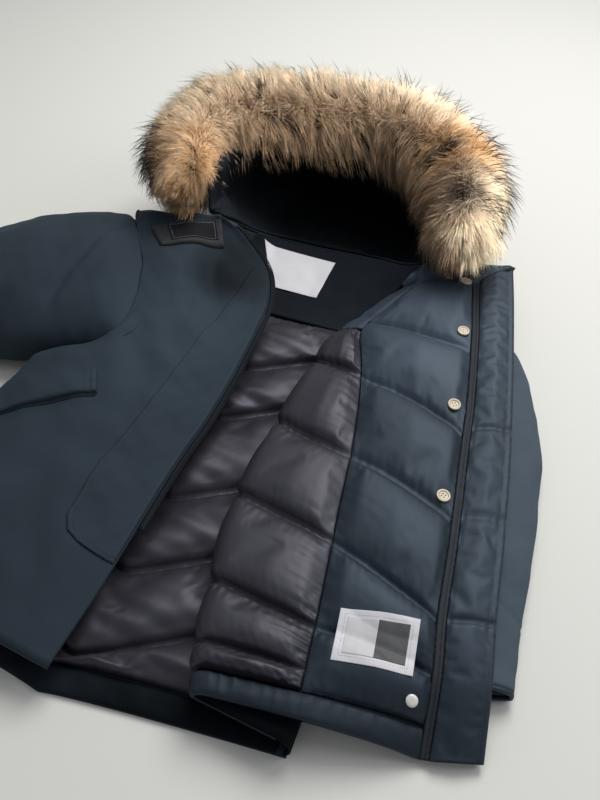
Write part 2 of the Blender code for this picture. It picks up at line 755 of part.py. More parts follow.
def left_front_lining():
    """Black quilted lining: from inside the fold, round it, and over to the seam with the facing."""
    rows = quilt_rows(LINING_QUILT, "v", "s", 3)
    columns = list(range(4, SEAM_COLUMN + 1))
    across = [0, 0, 0, 0, 0.02, 0.14, 0.42, 0.72, 1.0]
    upper, lower = skin_on(rows, columns, across, 5.0, 13.0)
    slim = np.array([4.5, 4.5, 4.5, 4.5, 5.5, 8, 0, 0, 0])
    ground = lower
    heights = np.linalg.norm(upper - lower, axis=-1)
    heights[:, :6] = slim[:6]
    heights[:, -1] = np.maximum(heights[:, -1], 5.0)
    upper = offset(ground, heights)
    upper[:, -1, 0] -= 0.8
    lower[:, -1, 0] -= 0.8
    wall("left_front_lining", upper, lower, LINING_BLACK, 0.35)


def left_front_facing():
    """Navy quilted facing between the lining's seam and the zip."""
    rows = quilt_rows(FACING_QUILT, "s", "z", 3)
    columns = [SEAM_COLUMN, SEAM_COLUMN + 1, SEAM_COLUMN + 2, ZIP_COLUMN]
    upper, lower = skin_on(rows, columns, [0, 0.33, 0.67, 1.0], 5.0, 12.0)
    for skin in (upper, lower):
        skin[:, 0, 0] += 0.8
        skin[:, -1, 0] -= 1.4
    return wall("left_front_facing", upper, lower, NAVY_SATIN, 0.5)


def left_yoke_facing(rows=7):
    """Navy facing above the black lining, round the fold and up to the neck."""
    lines = np.array([seam_line(q) for q in np.linspace(7.03, TOP, rows)])[:, 6 : SEAM_COLUMN + 1]
    upper, lower = offset(lines, SKIN_GAP + 5), offset(lines, SKIN_GAP)
    upper[:, -1, 0] -= 0.5
    lower[:, -1, 0] -= 0.5
    wall("left_yoke_facing", upper, lower, NAVY_SATIN, 0.5)


def left_strips():
    """Placket, zip tape and the turned-up hem."""
    lines = np.array([seam_line(q) for q in LEFT_LEVELS])
    placket = lines[:, ZIP_COLUMN + 1 :].copy()
    placket[:, 0, 0] += 0.6
    thick = np.array([4.5, 7.5, 4.5])
    wall("left_placket", offset(placket, GAP / 2 + thick), offset(placket, GAP / 2), NAVY_SATIN, 0.5)
    tape = lines[:, ZIP_COLUMN : ZIP_COLUMN + 2]
    wall("left_zip_tape", offset(tape, GAP / 2 + 3.2), offset(tape, GAP / 2), DARK, 0.5)
    band = lines[:3, 4 : ZIP_COLUMN + 1].copy()
    band[:, -1, 0] -= 1.8
    wall("left_hem_facing", offset(band, SKIN_GAP + 5), offset(band, SKIN_GAP), NAVY_SATIN, 0.5)


PATCH = ((266, -272), (346, -257), (338, -200), (258, -217))


def patch_label(facing):
    """The large woven label low on the facing."""
    laid_on("patch_label", facing, spread(PATCH, 7, 9), 1.6, 2.4, WHITE, 0.4)


def disc(name, body, x, y, radius, height, colour, sides=12):
    """A button or snap cap with a softened upper edge, lying flat on what is under it."""
    rim_x = x + radius * np.cos(np.linspace(0, 6, 13))
    rim_y = y + radius * np.sin(np.linspace(0, 6, 13))
    rest = draped(body, np.stack([rim_x, rim_y], -1)[None], GAP)[..., 2].max()
    centre = np.array([x, y, rest])
    rings = ((1.0, 0.0), (1.0, 0.65), (0.8, 1.0), (0.45, 0.82))
    turn = np.linspace(0, 2 * math.pi, sides, endpoint=False)
    vertices = []
    for reach, lift in rings:
        for angle in turn:
            out = radius * reach
            vertices.append(centre + [out * math.cos(angle), out * math.sin(angle), height * lift])
    faces = [tuple(range(sides - 1, -1, -1)), tuple(range(len(vertices) - sides, len(vertices)))]
    for r in range(len(rings) - 1):
        for c in range(sides):
            a = r * sides + c
            b = r * sides + (c + 1) % sides
            faces.append((a, b, b + sides, a + sides))
    return turned_out(finish(name, vertices, faces, colour, 0.35))


BUTTONS = table("k x y", (1, 322, -40), (2, 301, 99), (3, 281, 238), (4, 261, 337))
BUTTON_RADIUS = 8.2
SNAP_X, SNAP_Y = 351, -275


def fasteners(facing):
    for k, x, y in zip(BUTTONS["k"], BUTTONS["x"], BUTTONS["y"]):
        disc(f"button_{int(k)}", facing, x, y, BUTTON_RADIUS, 3.0, IVORY)
    disc("snap", facing, SNAP_X, SNAP_Y, 6.2, 3.4, IVORY)


# ---------------------------------------------------------------- build
for old in list(bpy.data.objects):
    bpy.data.objects.remove(old, do_unlink=True)
PARKA = bpy.data.collections.new("fur_trimmed_parka")
bpy.context.scene.collection.children.link(PARKA)

back_panel()
back_lining()
back_hem_facing()
neck_label(back_neck_facing())
hood()
fur_trim()
RIGHT_FRONT = right_front()
right_fly(RIGHT_FRONT)
right_zip_tape()
right_details(RIGHT_FRONT)
RIGHT_RINGS = right_sleeve_rings()
BELOW_ELBOW = [RIGHT_RINGS[3] + GAP * 1.5 * towards(RIGHT_RINGS[3], RIGHT_RINGS[4])]
sleeve("right_sleeve", RIGHT_RINGS[:4])
sleeve("right_sleeve_lower", BELOW_ELBOW + RIGHT_RINGS[4:])
cuff("right_cuff", RIGHT_RINGS, 5.0)
LEFT_RINGS = ovals(LEFT_SLEEVE)
sleeve("left_sleeve", LEFT_RINGS)
cuff("left_cuff", LEFT_RINGS, 5.0)
left_front()
left_front_lining()
FACING = left_front_facing()
left_yoke_facing()
left_strips()
patch_label(FACING)
fasteners(FACING)
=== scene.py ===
# %% [markdown]
# # A fur trimmed parka, laid open on the floor
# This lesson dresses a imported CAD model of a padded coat. The CAD solids say where every panel is and
# how big it is. Here each panel becomes cloth: quilted lining that swells between its seams, matt outer
# cloth with soft creases, and a band of long fur.
# The frame is in metres: +Z up, +Y from the hem to the hood, +X to the wearer's left.

# %% The frame
import json
import math

import bpy
import numpy as np
from mathutils import Matrix, Vector
from mathutils.bvhtree import BVHTree

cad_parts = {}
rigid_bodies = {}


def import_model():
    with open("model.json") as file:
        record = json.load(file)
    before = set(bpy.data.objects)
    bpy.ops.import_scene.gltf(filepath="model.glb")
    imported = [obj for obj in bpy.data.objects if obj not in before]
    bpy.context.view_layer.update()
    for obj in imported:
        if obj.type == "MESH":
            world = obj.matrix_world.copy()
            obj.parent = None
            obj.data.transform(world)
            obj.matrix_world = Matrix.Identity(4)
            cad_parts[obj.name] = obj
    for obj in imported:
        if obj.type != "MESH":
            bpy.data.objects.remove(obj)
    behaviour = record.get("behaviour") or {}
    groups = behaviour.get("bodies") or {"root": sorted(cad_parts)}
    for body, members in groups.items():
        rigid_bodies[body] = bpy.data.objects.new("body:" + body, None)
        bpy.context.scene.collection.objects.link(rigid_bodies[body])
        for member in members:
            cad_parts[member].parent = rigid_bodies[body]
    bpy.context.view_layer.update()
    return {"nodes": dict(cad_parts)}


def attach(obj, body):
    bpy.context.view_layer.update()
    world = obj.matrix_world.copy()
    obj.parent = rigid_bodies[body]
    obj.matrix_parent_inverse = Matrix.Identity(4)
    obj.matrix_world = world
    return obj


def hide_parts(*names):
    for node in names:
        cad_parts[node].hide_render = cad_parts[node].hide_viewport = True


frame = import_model()
MM = 0.001
print("CAD nodes:", len(frame["nodes"]))


# %% [markdown]
# Tables of sizes describe each panel, in millimetres, one row for each level from the hem up. A curve
# read from a table must not overshoot, or a hem would dip through the floor, so its slopes are held
# back where the numbers turn.

# %% Reading a table
def table(names, *rows):
    return {name: np.array([row[i] for row in rows], float) for i, name in enumerate(names.split())}


def mix(a, b, w):
    return a + (b - a) * w


def smooth(keys, values, at):
    at = np.clip(np.asarray(at, float), keys[0], keys[-1])
    i = np.clip(np.searchsorted(keys, at, side="right") - 1, 0, len(keys) - 2)
    steps = np.diff(values) / np.diff(keys)
    before = np.concatenate([steps[:1], steps])
    after = np.concatenate([steps, steps[-1:]])
    slope = np.gradient(values, keys)
    most = 2 * np.minimum(np.abs(before), np.abs(after)) * (before * after > 0)
    slope = np.clip(slope, -most, most)
    span = keys[i + 1] - keys[i]
    w = (at - keys[i]) / span
    rise = values[i + 1] - values[i]
    a = slope[i] * span - rise
    b = rise - slope[i + 1] * span
    return (1 - w) * values[i] + w * values[i + 1] + w * (1 - w) * (a * (1 - w) + b * w)


def read(columns, name, at):
    return smooth(next(iter(columns.values())), columns[name], at)


def point(columns, prefix, at):
    return np.stack([read(columns, prefix + axis, at) for axis in "xyz"], -1)


def unit(rows):
    """The same directions with a length of 1."""
    return rows / np.maximum(np.linalg.norm(rows, axis=-1, keepdims=True), 1e-9)


def run_of(line):
    """Distance along a line of points, in millimetres."""
    return np.concatenate([[0], np.cumsum(np.linalg.norm(np.diff(line, axis=0), axis=1))])


def raised(ground, rise):
    """The same points, each lifted by its own rise."""
    found = ground.copy()
    found[..., 2] += rise
    return found


def normals(grid):
    return unit(np.cross(np.gradient(grid, axis=1), np.gradient(grid, axis=0)))


def outward(grid, row=0.5, column=0.5):
    """Unit normals of a grid, turned so that they point up at one place on it."""
    out = normals(grid)
    if out[int(row * (grid.shape[0] - 1)), int(column * (grid.shape[1] - 1)), 2] < 0:
        out = -out
    return out


# %% [markdown]
# Creases need a little disorder that is the same on every run. This noise adds up a few waves of fixed,
# seeded directions, which costs nothing and never repeats within one coat.

# %% Seeded noise
def waves(places, size, seed, count=7):
    """Smooth noise from about -1 to 1 at rows of coordinates, with features of this size."""
    rng = np.random.default_rng(seed)
    places = np.asarray(places, float)
    total = np.zeros(places.shape[:-1])
    for _ in range(count):
        way = rng.normal(size=places.shape[-1])
        way *= 2 * math.pi / size / np.linalg.norm(way) * rng.uniform(0.6, 1.5)
        total += np.sin(places @ way + rng.uniform(0, 6.28))
    return total / math.sqrt(count) / 1.2


def creases(x, y, rows, seed):
    """Height of listed folds. Each row: start x and y, end x and y, width, height (under 0, a trough)."""
    total = np.zeros_like(x)
    wander = waves(np.stack([x, y], -1), 120, seed) * 7
    for x0, y0, x1, y1, width, height in rows:
        length = math.hypot(x1 - x0, y1 - y0)
        ax, ay = (x1 - x0) / length, (y1 - y0) / length
        t = ((x - x0) * ax + (y - y0) * ay) / length
        d = (x - x0) * -ay + (y - y0) * ax + wander
        fade = np.sin(math.pi * np.clip(t * 0.8 + 0.1, 0, 1)) ** 1.5 * (t > -0.12) * (t < 1.12)
        sharp = np.where(d > 0, d / width, d / (width * 1.9))
        total += height * fade * np.exp(-np.abs(sharp) ** 1.6)
    return total


# %% [markdown]
# ## The shapes of the panels
# The same sizes that the CAD solids were worked out from are repeated here, because a cloth piece is a
# finer copy of its solid's form: many more points on the same surface, moved out by folds and filling.

# %% The back
BACK = table(
    "y right left",
    (-386, -288, 251), (-200, -282, 247), (0, -270, 240), (120, -262, 236), (240, -250, 231), (330, -236, 226),
)


def hem_y(x):
    return -386 + 31 * (np.abs(np.asarray(x) + 15) / 265) ** 0.8


def shoulder_y(x):
    w = np.clip((np.abs(x) - 88) / 145, 0, 1)
    return 378 - 58 * w * w * (3 - 2 * w)


def back_surface(rows, columns):
    t = np.linspace(0, 1, rows)[:, None]
    s = np.linspace(0, 1, columns)[None, :]
    middle = mix(-386, 345, t)
    x = mix(read(BACK, "right", middle), read(BACK, "left", middle), s)
    y = mix(hem_y(x), shoulder_y(x), t)
    return np.stack([x, y, np.full_like(x, 1.6)], -1)


BACK_QUILT = (-348, -239, -129, 12, 112)


def back_lining_lines(columns):
    """Places and heights up the back of each line of quilting, from the hem's to the neck's."""
    ends = (248, 247, 246, 243, 240, 236, 231)
    places = [np.linspace(-125, end - 6.5, columns) for end in ends]
    lines = [hem_y(places[0]) + 30.3]
    for level, x in zip(BACK_QUILT, places[1:]):
        lines.append(np.maximum(level + 0.62 * np.minimum(np.sqrt(x * x + 120), 120), lines[-1] + 7))
    lines.append(np.maximum(241, lines[-1] + 9))
    return places, lines


# %% The right front
RIGHT = table(
    "q ex ey ez h25 h50 h75 tx ty tz dx dy dz fx fy fz",
    (0, 0, -373, 42, 56, 64, 62, -268, -358, 48, -290, -357, 24, -285, -356, 2),
    (1, 9, -250, 52, 68, 76, 74, -264, -240, 58, -287, -238, 30, -280, -237, 2),
    (2, 10, -112, 55, 76, 84, 80, -258, -98, 64, -282, -96, 34, -276, -95, 2),
    (3, 15, -20, 56, 79, 86, 82, -252, -12, 62, -276, -10, 34, -270, -9, 2),
    (4, 15, 40, 57, 80, 88, 90, -165, 40, 83, -161, 38, 79, -158, 36, 74),
    (5, 13, 85, 58, 80, 92, 94, -153, 64, 90.5, -151, 62, 90, -148, 60, 89.5),
    (6, 10, 140, 60, 80, 94, 98, -160, 116, 96.5, -157, 115, 96.2, -154, 114, 96),
    (7, 2, 205, 62, 80, 96, 104, -182, 176, 102.5, -179, 175, 102.2, -176, 174, 102),
    (8, -22, 259, 76, 90, 102, 108, -216, 226, 106.5, -213, 225, 106.2, -210, 224, 106),
    (9, -75, 289, 108, 111, 114, 114, -246, 272, 106, -243.5, 271, 104, -241, 270, 102),
    (10, -114, 302, 122, 116, 111, 108, -256, 296, 100, -255, 296, 97, -254, 296, 94),
    (11, -124, 322, 96, 88, 82, 76, -260, 318, 62, -259, 318, 59, -258, 318, 56),
    (12, -128, 346, 52, 46, 40, 34, -260, 338, 24, -260, 338, 21, -258, 338, 18),
)


def right_surface(s, q):
    """Outside of the right front: s from its free edge (0) to the side (1), then round to the floor (2)."""
    s, q = np.broadcast_arrays(np.asarray(s, float), np.asarray(q, float))
    edge, side, turn, foot = (point(RIGHT, prefix, q) for prefix in "etdf")
    across = np.clip(s, 0, 1)
    found = mix(edge, side, across[..., None])
    heights = np.stack([edge[..., 2], *(read(RIGHT, h, q) for h in ("h25", "h50", "h75")), side[..., 2]])
    keys = np.array([0, 0.25, 0.5, 0.75, 1.0])
    k = np.clip(np.searchsorted(keys, across, side="right") - 1, 0, 3)
    slopes = np.gradient(heights, keys, axis=0)
    low, high = (np.take_along_axis(heights, k[None] + n, 0)[0] for n in (0, 1))
    low_slope, high_slope = (np.take_along_axis(slopes, k[None] + n, 0)[0] * 0.25 for n in (0, 1))
    w = (across - keys[k]) / 0.25
    bow = (low_slope - high + low) * (1 - w) + (high - low - high_slope) * w
    found[..., 2] = mix(low, high, w) + w * (1 - w) * bow
    over = np.clip(s - 1, 0, 1)[..., None]
    pull = turn + (turn - (side + foot) / 2) * 0.6
    bent = (1 - over) ** 2 * side + 2 * over * (1 - over) * pull + over**2 * foot
    return np.where(s[..., None] > 1, bent, found)


# %% The left front
LEFT = table(
    "q vx vy sx sy zx zy ex ey side sidey low turn us uz ue",
    (0, 143, -345, 252, -333, 377, -310, 432, -293, 249, -354, 40, 47, 50, 6, 6),
    (1, 121, -279, 242, -264, 368, -239, 421, -226, 248, -286, 34, 43, 49, 40, 40),
    (2, 105, -212, 233, -202, 357, -177, 411, -163, 246, -217, 29, 40, 50, 49, 49),
    (3, 88, -130, 219, -120, 347, -88, 401, -76, 243, -134, 27, 38, 52, 53, 54),
    (4, 84, -40, 203, -18, 332, 22, 386, 36, 240, -44, 27, 38, 53, 56, 57),
    (5, 88, 60, 187, 62, 321, 108, 372, 122, 237, 56, 27, 38, 51, 58, 59),
    (6, 94, 148, 166, 140, 308, 186, 358, 203, 233, 144, 27, 38, 48, 60, 61),
    (7, 104, 212, 144, 212, 296, 250, 346, 268, 231, 208, 27, 38, 45, 62, 63),
    (8, 132, 275, 166, 272, 284, 304, 334, 330, 228, 262, 29, 40, 46, 64, 66),
    (9, 168, 336, 196, 338, 274, 352, 320, 396, 224, 312, 33, 45, 52, 65, 69),
)
ZIP_HALF = 4.5
UNDER = 10
SEAM, ZIP, LAST = 12, 15, 18
LINING_QUILT = table(
    "k v s",
    (0, 0.38, 0.38), (1, 0.80, 0.66), (2, 1.90, 1.40), (3, 3.30, 2.80), (4, 4.60, 4.00), (5, 5.90, 5.75),
    (6, 7.00, 7.00),
)
FACING_QUILT = table(
    "k s z",
    (0, 0.38, 0.38), (1, 1.40, 0.96), (2, 2.80, 1.85), (3, 4.00, 3.20), (4, 5.75, 4.40), (5, 7.30, 6.30),
    (6, 9.00, 9.00),
)


def seam_line(q):
    """The layer between shell and lining, from the side fold, round the valley, to the free edge."""
    col = {name: read(LEFT, name, q) for name in LEFT if name != "q"}
    side, vx, low, turn = col["side"], col["vx"], col["low"], col["turn"]
    x = [side - 1, side + 2, side + 5, side + 2, side - 9, mix(side - 9, vx + 34, 0.5), vx + 34]
    z = [3.0, 10, low * 0.5, low - 5, low, low, low]
    x += [vx + 18, vx + 9, vx + 18]
    z += [low, mix(low, turn, 0.5), turn]
    start = vx + 18
    for w, rise in ((0.3, 0.35), (0.65, 0.8), (1, 1)):
        x.append(mix(start, col["sx"], w))
        z.append(mix(turn, col["us"], rise))
    for w in (0.33, 0.67):
        x.append(mix(col["sx"], col["zx"], w))
        z.append(mix(col["us"], col["uz"], w) + 3 * math.sin(math.pi * w))
    x += [col["zx"] - ZIP_HALF, col["zx"] + ZIP_HALF]
    z += [col["uz"], col["uz"]]
    x += [mix(col["zx"], col["ex"], 0.55), col["ex"]]
    z += [mix(col["uz"], col["ue"], 0.5) + 1, col["ue"]]
    x, z = np.array(x), np.array(z)
    upper_y = np.interp(x, [vx, col["sx"], col["zx"], col["ex"]], [col["vy"], col["sy"], col["zy"], col["ey"]])
    lower_y = np.interp(x, [vx, side], [col["vy"], col["sidey"]])
    y = np.where(np.arange(len(x)) < UNDER - 1, lower_y, upper_y)
    return np.stack([x, y, z], -1)


TOP, PER_LEVEL, PER_COLUMN = 9, 20, 12
FINE_Q = np.linspace(0, TOP, TOP * PER_LEVEL + 1)
FINE_C = np.linspace(0, LAST, LAST * PER_COLUMN + 1)
coarse = np.array([seam_line(q) for q in FINE_Q])
rows = [[smooth(np.arange(LAST + 1.0), line, FINE_C) for line in coarse[..., k]] for k in range(3)]
LEFT_SHEET = np.stack([np.array(lines) for lines in rows], -1)
print("left front's surface:", LEFT_SHEET.shape)


def left_surface(q, c):
    """Points on the left front's middle layer: q levels up from the hem, c columns from the side fold."""
    q, c = np.broadcast_arrays(np.asarray(q, float), np.asarray(c, float))
    i, j = np.clip(q, 0, TOP) * PER_LEVEL, np.clip(c, 0, LAST) * PER_COLUMN
    i0 = np.minimum(i.astype(int), TOP * PER_LEVEL - 1)
    j0 = np.minimum(j.astype(int), LAST * PER_COLUMN - 1)
    a, b = (i - i0)[..., None], (j - j0)[..., None]
    near = mix(LEFT_SHEET[i0, j0], LEFT_SHEET[i0, j0 + 1], b)
    return mix(near, mix(LEFT_SHEET[i0 + 1, j0], LEFT_SHEET[i0 + 1, j0 + 1], b), a)


# %% The hood
NECK = table(
    "u x y z",
    (0.0, -113, 301.5, 121), (0.12, -105.2, 335.5, 90.5), (0.25, -85, 372, 54), (0.38, -48, 394, 33),
    (0.5, 0, 399, 29), (0.62, 60, 396, 33), (0.75, 118, 384, 44), (0.88, 172, 366, 60), (1.0, 236, 372, 84),
)
FUR_ROLL = table(
    "u x y z r lean",
    (0.0, -178, 306, 167, 46, 8), (0.1, -203, 354, 166, 60, 12), (0.2, -224, 421, 165, 66, 22),
    (0.3, -206, 503, 168, 70, 40), (0.42, -125, 548, 170, 72, 54), (0.53, -36, 571, 170, 73, 58),
    (0.64, 58, 575, 170, 73, 60), (0.76, 146, 540, 165, 73, 60), (0.86, 207, 478, 157, 71, 60),
    (0.94, 233, 420, 148, 63, 62), (1.0, 238, 376, 142, 50, 64),
)
BASE = table(
    "u x y z",
    (0.0, -118, 306, 122), (0.12, -122, 352, 84), (0.25, -112, 404, 30), (0.38, -62, 440, 4),
    (0.5, -8, 450, 3), (0.62, 62, 448, 3), (0.75, 128, 432, 8), (0.88, 188, 402, 34), (1.0, 240, 380, 82),
)
POUCH = table(
    "u x y z",
    (0.0, -124, 304, 126), (0.12, -150, 372, 100), (0.25, -172, 462, 48), (0.38, -138, 542, 8),
    (0.5, -52, 582, 4), (0.62, 52, 588, 4), (0.75, 146, 552, 8), (0.88, 218, 462, 34), (1.0, 244, 388, 80),
)


def roll_frame(u):
    """Centre of the fur roll, its radius, and the level direction towards the inside of the hood."""
    centre = point(FUR_ROLL, "", u)
    along = point(FUR_ROLL, "", np.minimum(u + 0.01, 1)) - point(FUR_ROLL, "", np.maximum(u - 0.01, 0))
    inward = np.stack([along[..., 1], -along[..., 0], np.zeros_like(u)], -1)
    return centre, read(FUR_ROLL, "r", u), unit(inward)


def hood_surface(u, v):
    """The seam between hood shell and hood lining: neck at v 0, over the floor, rim at v 1."""
    u, v = np.broadcast_arrays(np.asarray(u, float), np.asarray(v, float))
    centre, radius, inward = roll_frame(u)
    lean = np.radians(read(FUR_ROLL, "lean", u))[..., None]
    way = np.cos(lean) * inward + np.sin(lean) * np.array([0, 0, -1.0])
    edge = centre + (radius + 3.0)[..., None] * way
    stops = np.stack([point(NECK, "", u), point(BASE, "", u), point(POUCH, "", u), edge])
    keys = np.array([0.0, 0.3, 0.66, 1.0])
    k = np.clip(np.searchsorted(keys, v, side="right") - 1, 0, 2)
    span = (keys[k + 1] - keys[k])[..., None]
    w = (v - keys[k])[..., None] / span
    slopes = np.gradient(stops, keys, axis=0)
    near, far = (np.take_along_axis(stops, k[None, ..., None] + n, 0)[0] for n in (0, 1))
    near_slope, far_slope = (np.take_along_axis(slopes, k[None, ..., None] + n, 0)[0] for n in (0, 1))
    bow = (0.7 * near_slope * span - (far - near)) * (1 - w) + ((far - near) - 0.7 * far_slope * span) * w
    found = mix(near, far, w) + w * (1 - w) * bow
    found[..., 2] = np.maximum(found[..., 2], 2.3)
    return found


def neck_surface(u, v):
    """Top of the padded facing across the back of the neck; u from right to left, v up."""
    u, v = np.broadcast_arrays(np.asarray(u, float), np.asarray(v, float))
    top = point(NECK, "", mix(0.25, 0.915, u))
    top[..., 1] -= 2.3
    low = np.stack([mix(-118, 103, u), np.full_like(u, 241.4), np.full_like(u, 7.9)], -1)
    found = mix(low, top, v[..., None])
    found[..., 2] = mix(low[..., 2], top[..., 2], v ** (1 + 0.6 * u)) + 5 * np.sin(math.pi * v) * (1 - u)
    return found


# %% [markdown]
# ## Making cloth
# A panel of cloth is a wall with an outer and an inner skin. Both skins are grids of points, so folds and
# filling are moves of the outer points along their normals, and the inner skin follows. The map of each
# piece is laid out in metres along the cloth, so that a weave has the same size everywhere.

# %% A wall from two grids
def lengths(grid):
    """Distance along the cloth of each point: across its row, and down its column."""
    across = np.linalg.norm(np.diff(grid, axis=1), axis=-1)
    down = np.linalg.norm(np.diff(grid, axis=0), axis=-1)
    u = np.concatenate([np.zeros((grid.shape[0], 1)), np.cumsum(across, axis=1)], axis=1)
    v = np.concatenate([np.zeros((1, grid.shape[1])), np.cumsum(down, axis=0)], axis=0)
    return np.stack([u, v], -1)


def mesh_from(name, points, faces, uv=None, colour=None):
    """A mesh object from rows of points in millimetres and rows of corners, or a tuple of such rows."""
    mesh = bpy.data.meshes.new(name)
    groups = [np.asarray(rows, np.int32) for rows in (faces if isinstance(faces, tuple) else (faces,))]
    corners = np.concatenate([rows.ravel() for rows in groups])
    sides = np.concatenate([np.full(len(rows), rows.shape[1], np.int32) for rows in groups])
    mesh.vertices.add(len(points))
    mesh.vertices.foreach_set("co", (np.asarray(points, float) * MM).ravel().astype(np.float32))
    mesh.loops.add(len(corners))
    mesh.loops.foreach_set("vertex_index", corners)
    mesh.polygons.add(len(sides))
    mesh.polygons.foreach_set("loop_start", (np.cumsum(sides) - sides).astype(np.int32))
    mesh.update(calc_edges=True)
    if uv is not None:
        layer = mesh.uv_layers.new(name="cloth")
        layer.data.foreach_set("uv", (uv[corners] * MM).ravel().astype(np.float32))
    if colour is not None:
        layer = mesh.color_attributes.new(name="tint", type="BYTE_COLOR", domain="POINT")
        rgba = np.concatenate([colour, np.ones((len(colour), 1))], axis=1)
        layer.data.foreach_set("color", rgba.ravel().astype(np.float32))
    mesh.shade_smooth()
    piece = bpy.data.objects.new(name, mesh)
    bpy.context.scene.collection.objects.link(piece)
    return piece


def rim(top, low):
    """Triangles between an edge of the upper skin and the lower one, which is -1 where it has no point."""
    kept = np.flatnonzero(low >= 0)
    m = np.arange(len(top) - 1)
    start = low[kept[np.searchsorted(kept, m, side="right") - 1]]
    fan = np.stack([start, top[m + 1], top[m]], -1)
    return np.concatenate([fan, np.stack([low[kept[:-1]], low[kept[1:]], top[kept[1:]]], -1)])


def squares(grid):
    """The corners of each square of a grid of point numbers."""
    return np.stack([grid[:-1, :-1], grid[:-1, 1:], grid[1:, 1:], grid[1:, :-1]], -1).reshape(-1, 4)


def slab(name, upper, lower, material, nodes=(), closed=False, inside=None):
    """A closed wall of cloth between two grids; with closed, a tube. inside is the lower skin's material.
    The lower skin lies hidden, so a fine piece keeps only some of its rows and columns."""
    rows, columns = upper.shape[:2]
    count = rows * columns
    thick = np.median(np.linalg.norm(upper - lower, axis=-1))
    skip = 1 if count < 3000 else 4 if thick > 4 else 2
    keep_r = np.unique(np.append(np.arange(0, rows, skip), rows - 1))
    keep_c = np.arange(0, columns, skip)
    if not closed:
        keep_c = np.unique(np.append(keep_c, columns - 1))
    kept = np.ix_(keep_r, keep_c)
    points = np.concatenate([upper.reshape(-1, 3), lower[kept].reshape(-1, 3)])
    top = np.arange(count).reshape(rows, columns)
    low = np.full((rows, columns), -1)
    low[kept] = count + np.arange(len(keep_r) * len(keep_c)).reshape(len(keep_r), len(keep_c))
    under = low[kept]
    if closed:
        top, low, under = (np.concatenate([grid, grid[:, :1]], axis=1) for grid in (top, low, under))
    skins = [squares(skin) for skin in (top, under)]
    quads = np.concatenate([skins[0], skins[1][:, ::-1]])
    edges = [rim(top[0], low[0]), rim(top[-1], low[-1])[:, ::-1]]
    if not closed:
        edges += [rim(top[:, 0], low[:, 0])[:, ::-1], rim(top[:, -1], low[:, -1])]
    edges = np.concatenate(edges)
    volume = sum(
        np.einsum("ij,ij->i", points[f[:, 0]], np.cross(points[f[:, m]], points[f[:, m + 1]])).sum()
        for f, m in ((quads, 1), (quads, 2), (edges, 1))
    )
    if volume < 0:
        quads, edges = quads[:, ::-1], edges[:, ::-1]
    uv = lengths(upper)
    uv = np.concatenate([uv.reshape(-1, 2), uv[kept].reshape(-1, 2) + [0, 2.0]])
    piece = mesh_from(name, points, (quads, edges), uv)
    print(name, "has", len(points), "points")
    dress(piece, material, nodes)
    if inside:
        piece.data.materials.append(inside)
        own = np.zeros(len(quads) + len(edges), np.int32)
        own[len(skins[0]) : len(quads)] = 1
        piece.data.polygons.foreach_set("material_index", own)
    return piece


def dress(piece, material, nodes=()):
    """Gives a piece its material and its body, and hides the solids it stands for."""
    piece.data.materials.append(material)
    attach(piece, "root")
    if nodes:
        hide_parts(*nodes)
    return piece


NARROWEST = 0.0101


def flat_size(grid, tube=False):
    """Width and length in metres of a panel, or of a tube's cloth, laid flat, and its area."""
    if tube:
        grid = np.concatenate([grid, grid[:, :1]], axis=1)
    across, down = np.diff(grid, axis=1), np.diff(grid, axis=0)
    width = max(np.linalg.norm(across, axis=-1).sum(axis=1).max() * MM, NARROWEST)
    length = max(np.linalg.norm(down, axis=-1).sum(axis=0).max() * MM, NARROWEST)
    area = np.linalg.norm(np.cross(across[:-1], down[:, :-1]), axis=-1).sum() / 1e6
    return (round(width, 4), round(length, 4)), round(min(area, width * length), 5)


# %% [markdown]
# ## Finishes
# The outer cloth is a tight, matt cotton blend: dark blue grey, with a fine weave and slow changes of
# tone where it has been handled. The facings are a smoother satin weave that shines softly, and the
# quilted lining is a black satin with long, broken highlights. The weave follows each piece's own map,
# and the slow changes follow the place on the object. Nearly black cloth shows little of the light in its
# hollows, so a few smooth pools of painted shade make a finish deeper there, and pools of painted light
# make it paler where the lamps fall on it. Some finishes are also darker or lighter copies of another:
# painted shade or painted light for cloth that lies in shadow or in light.

# %% Nodes of a finish
def feed(tree, node, sockets):
    """Gives each named input of a node a value, or the output that feeds it."""
    for name, value in sockets.items():
        if isinstance(value, bpy.types.NodeSocket):
            tree.links.new(value, node.inputs[name])
        else:
            node.inputs[name].default_value = value


def add(tree, kind, output, sockets, **settings):
    """Adds a node and returns one of its outputs."""
    node = tree.nodes.new("ShaderNode" + kind)
    for name, value in settings.items():
        setattr(node, name, value)
    feed(tree, node, sockets)
    return node.outputs[output]


def new_finish(name):
    """A new material with its node tree, its shader, and the outputs for places on the object and the map."""
    material = bpy.data.materials.new(name)
    material.use_nodes = True
    tree = material.node_tree
    place = tree.nodes.new("ShaderNodeTexCoord").outputs
    return material, tree, tree.nodes["Principled BSDF"], place["Object"], place["UV"]


def two_tones(tree, factor, deep, colour, start=0.0, end=1.0):
    """A ramp from a deep colour to a full one."""
    tone = add(tree, "ValToRGB", "Color", {"Fac": factor})
    for element, position, tint in zip(tone.node.color_ramp.elements, (start, end), (deep, colour)):
        element.position = position
        element.color = (*tint, 1)
    return tone


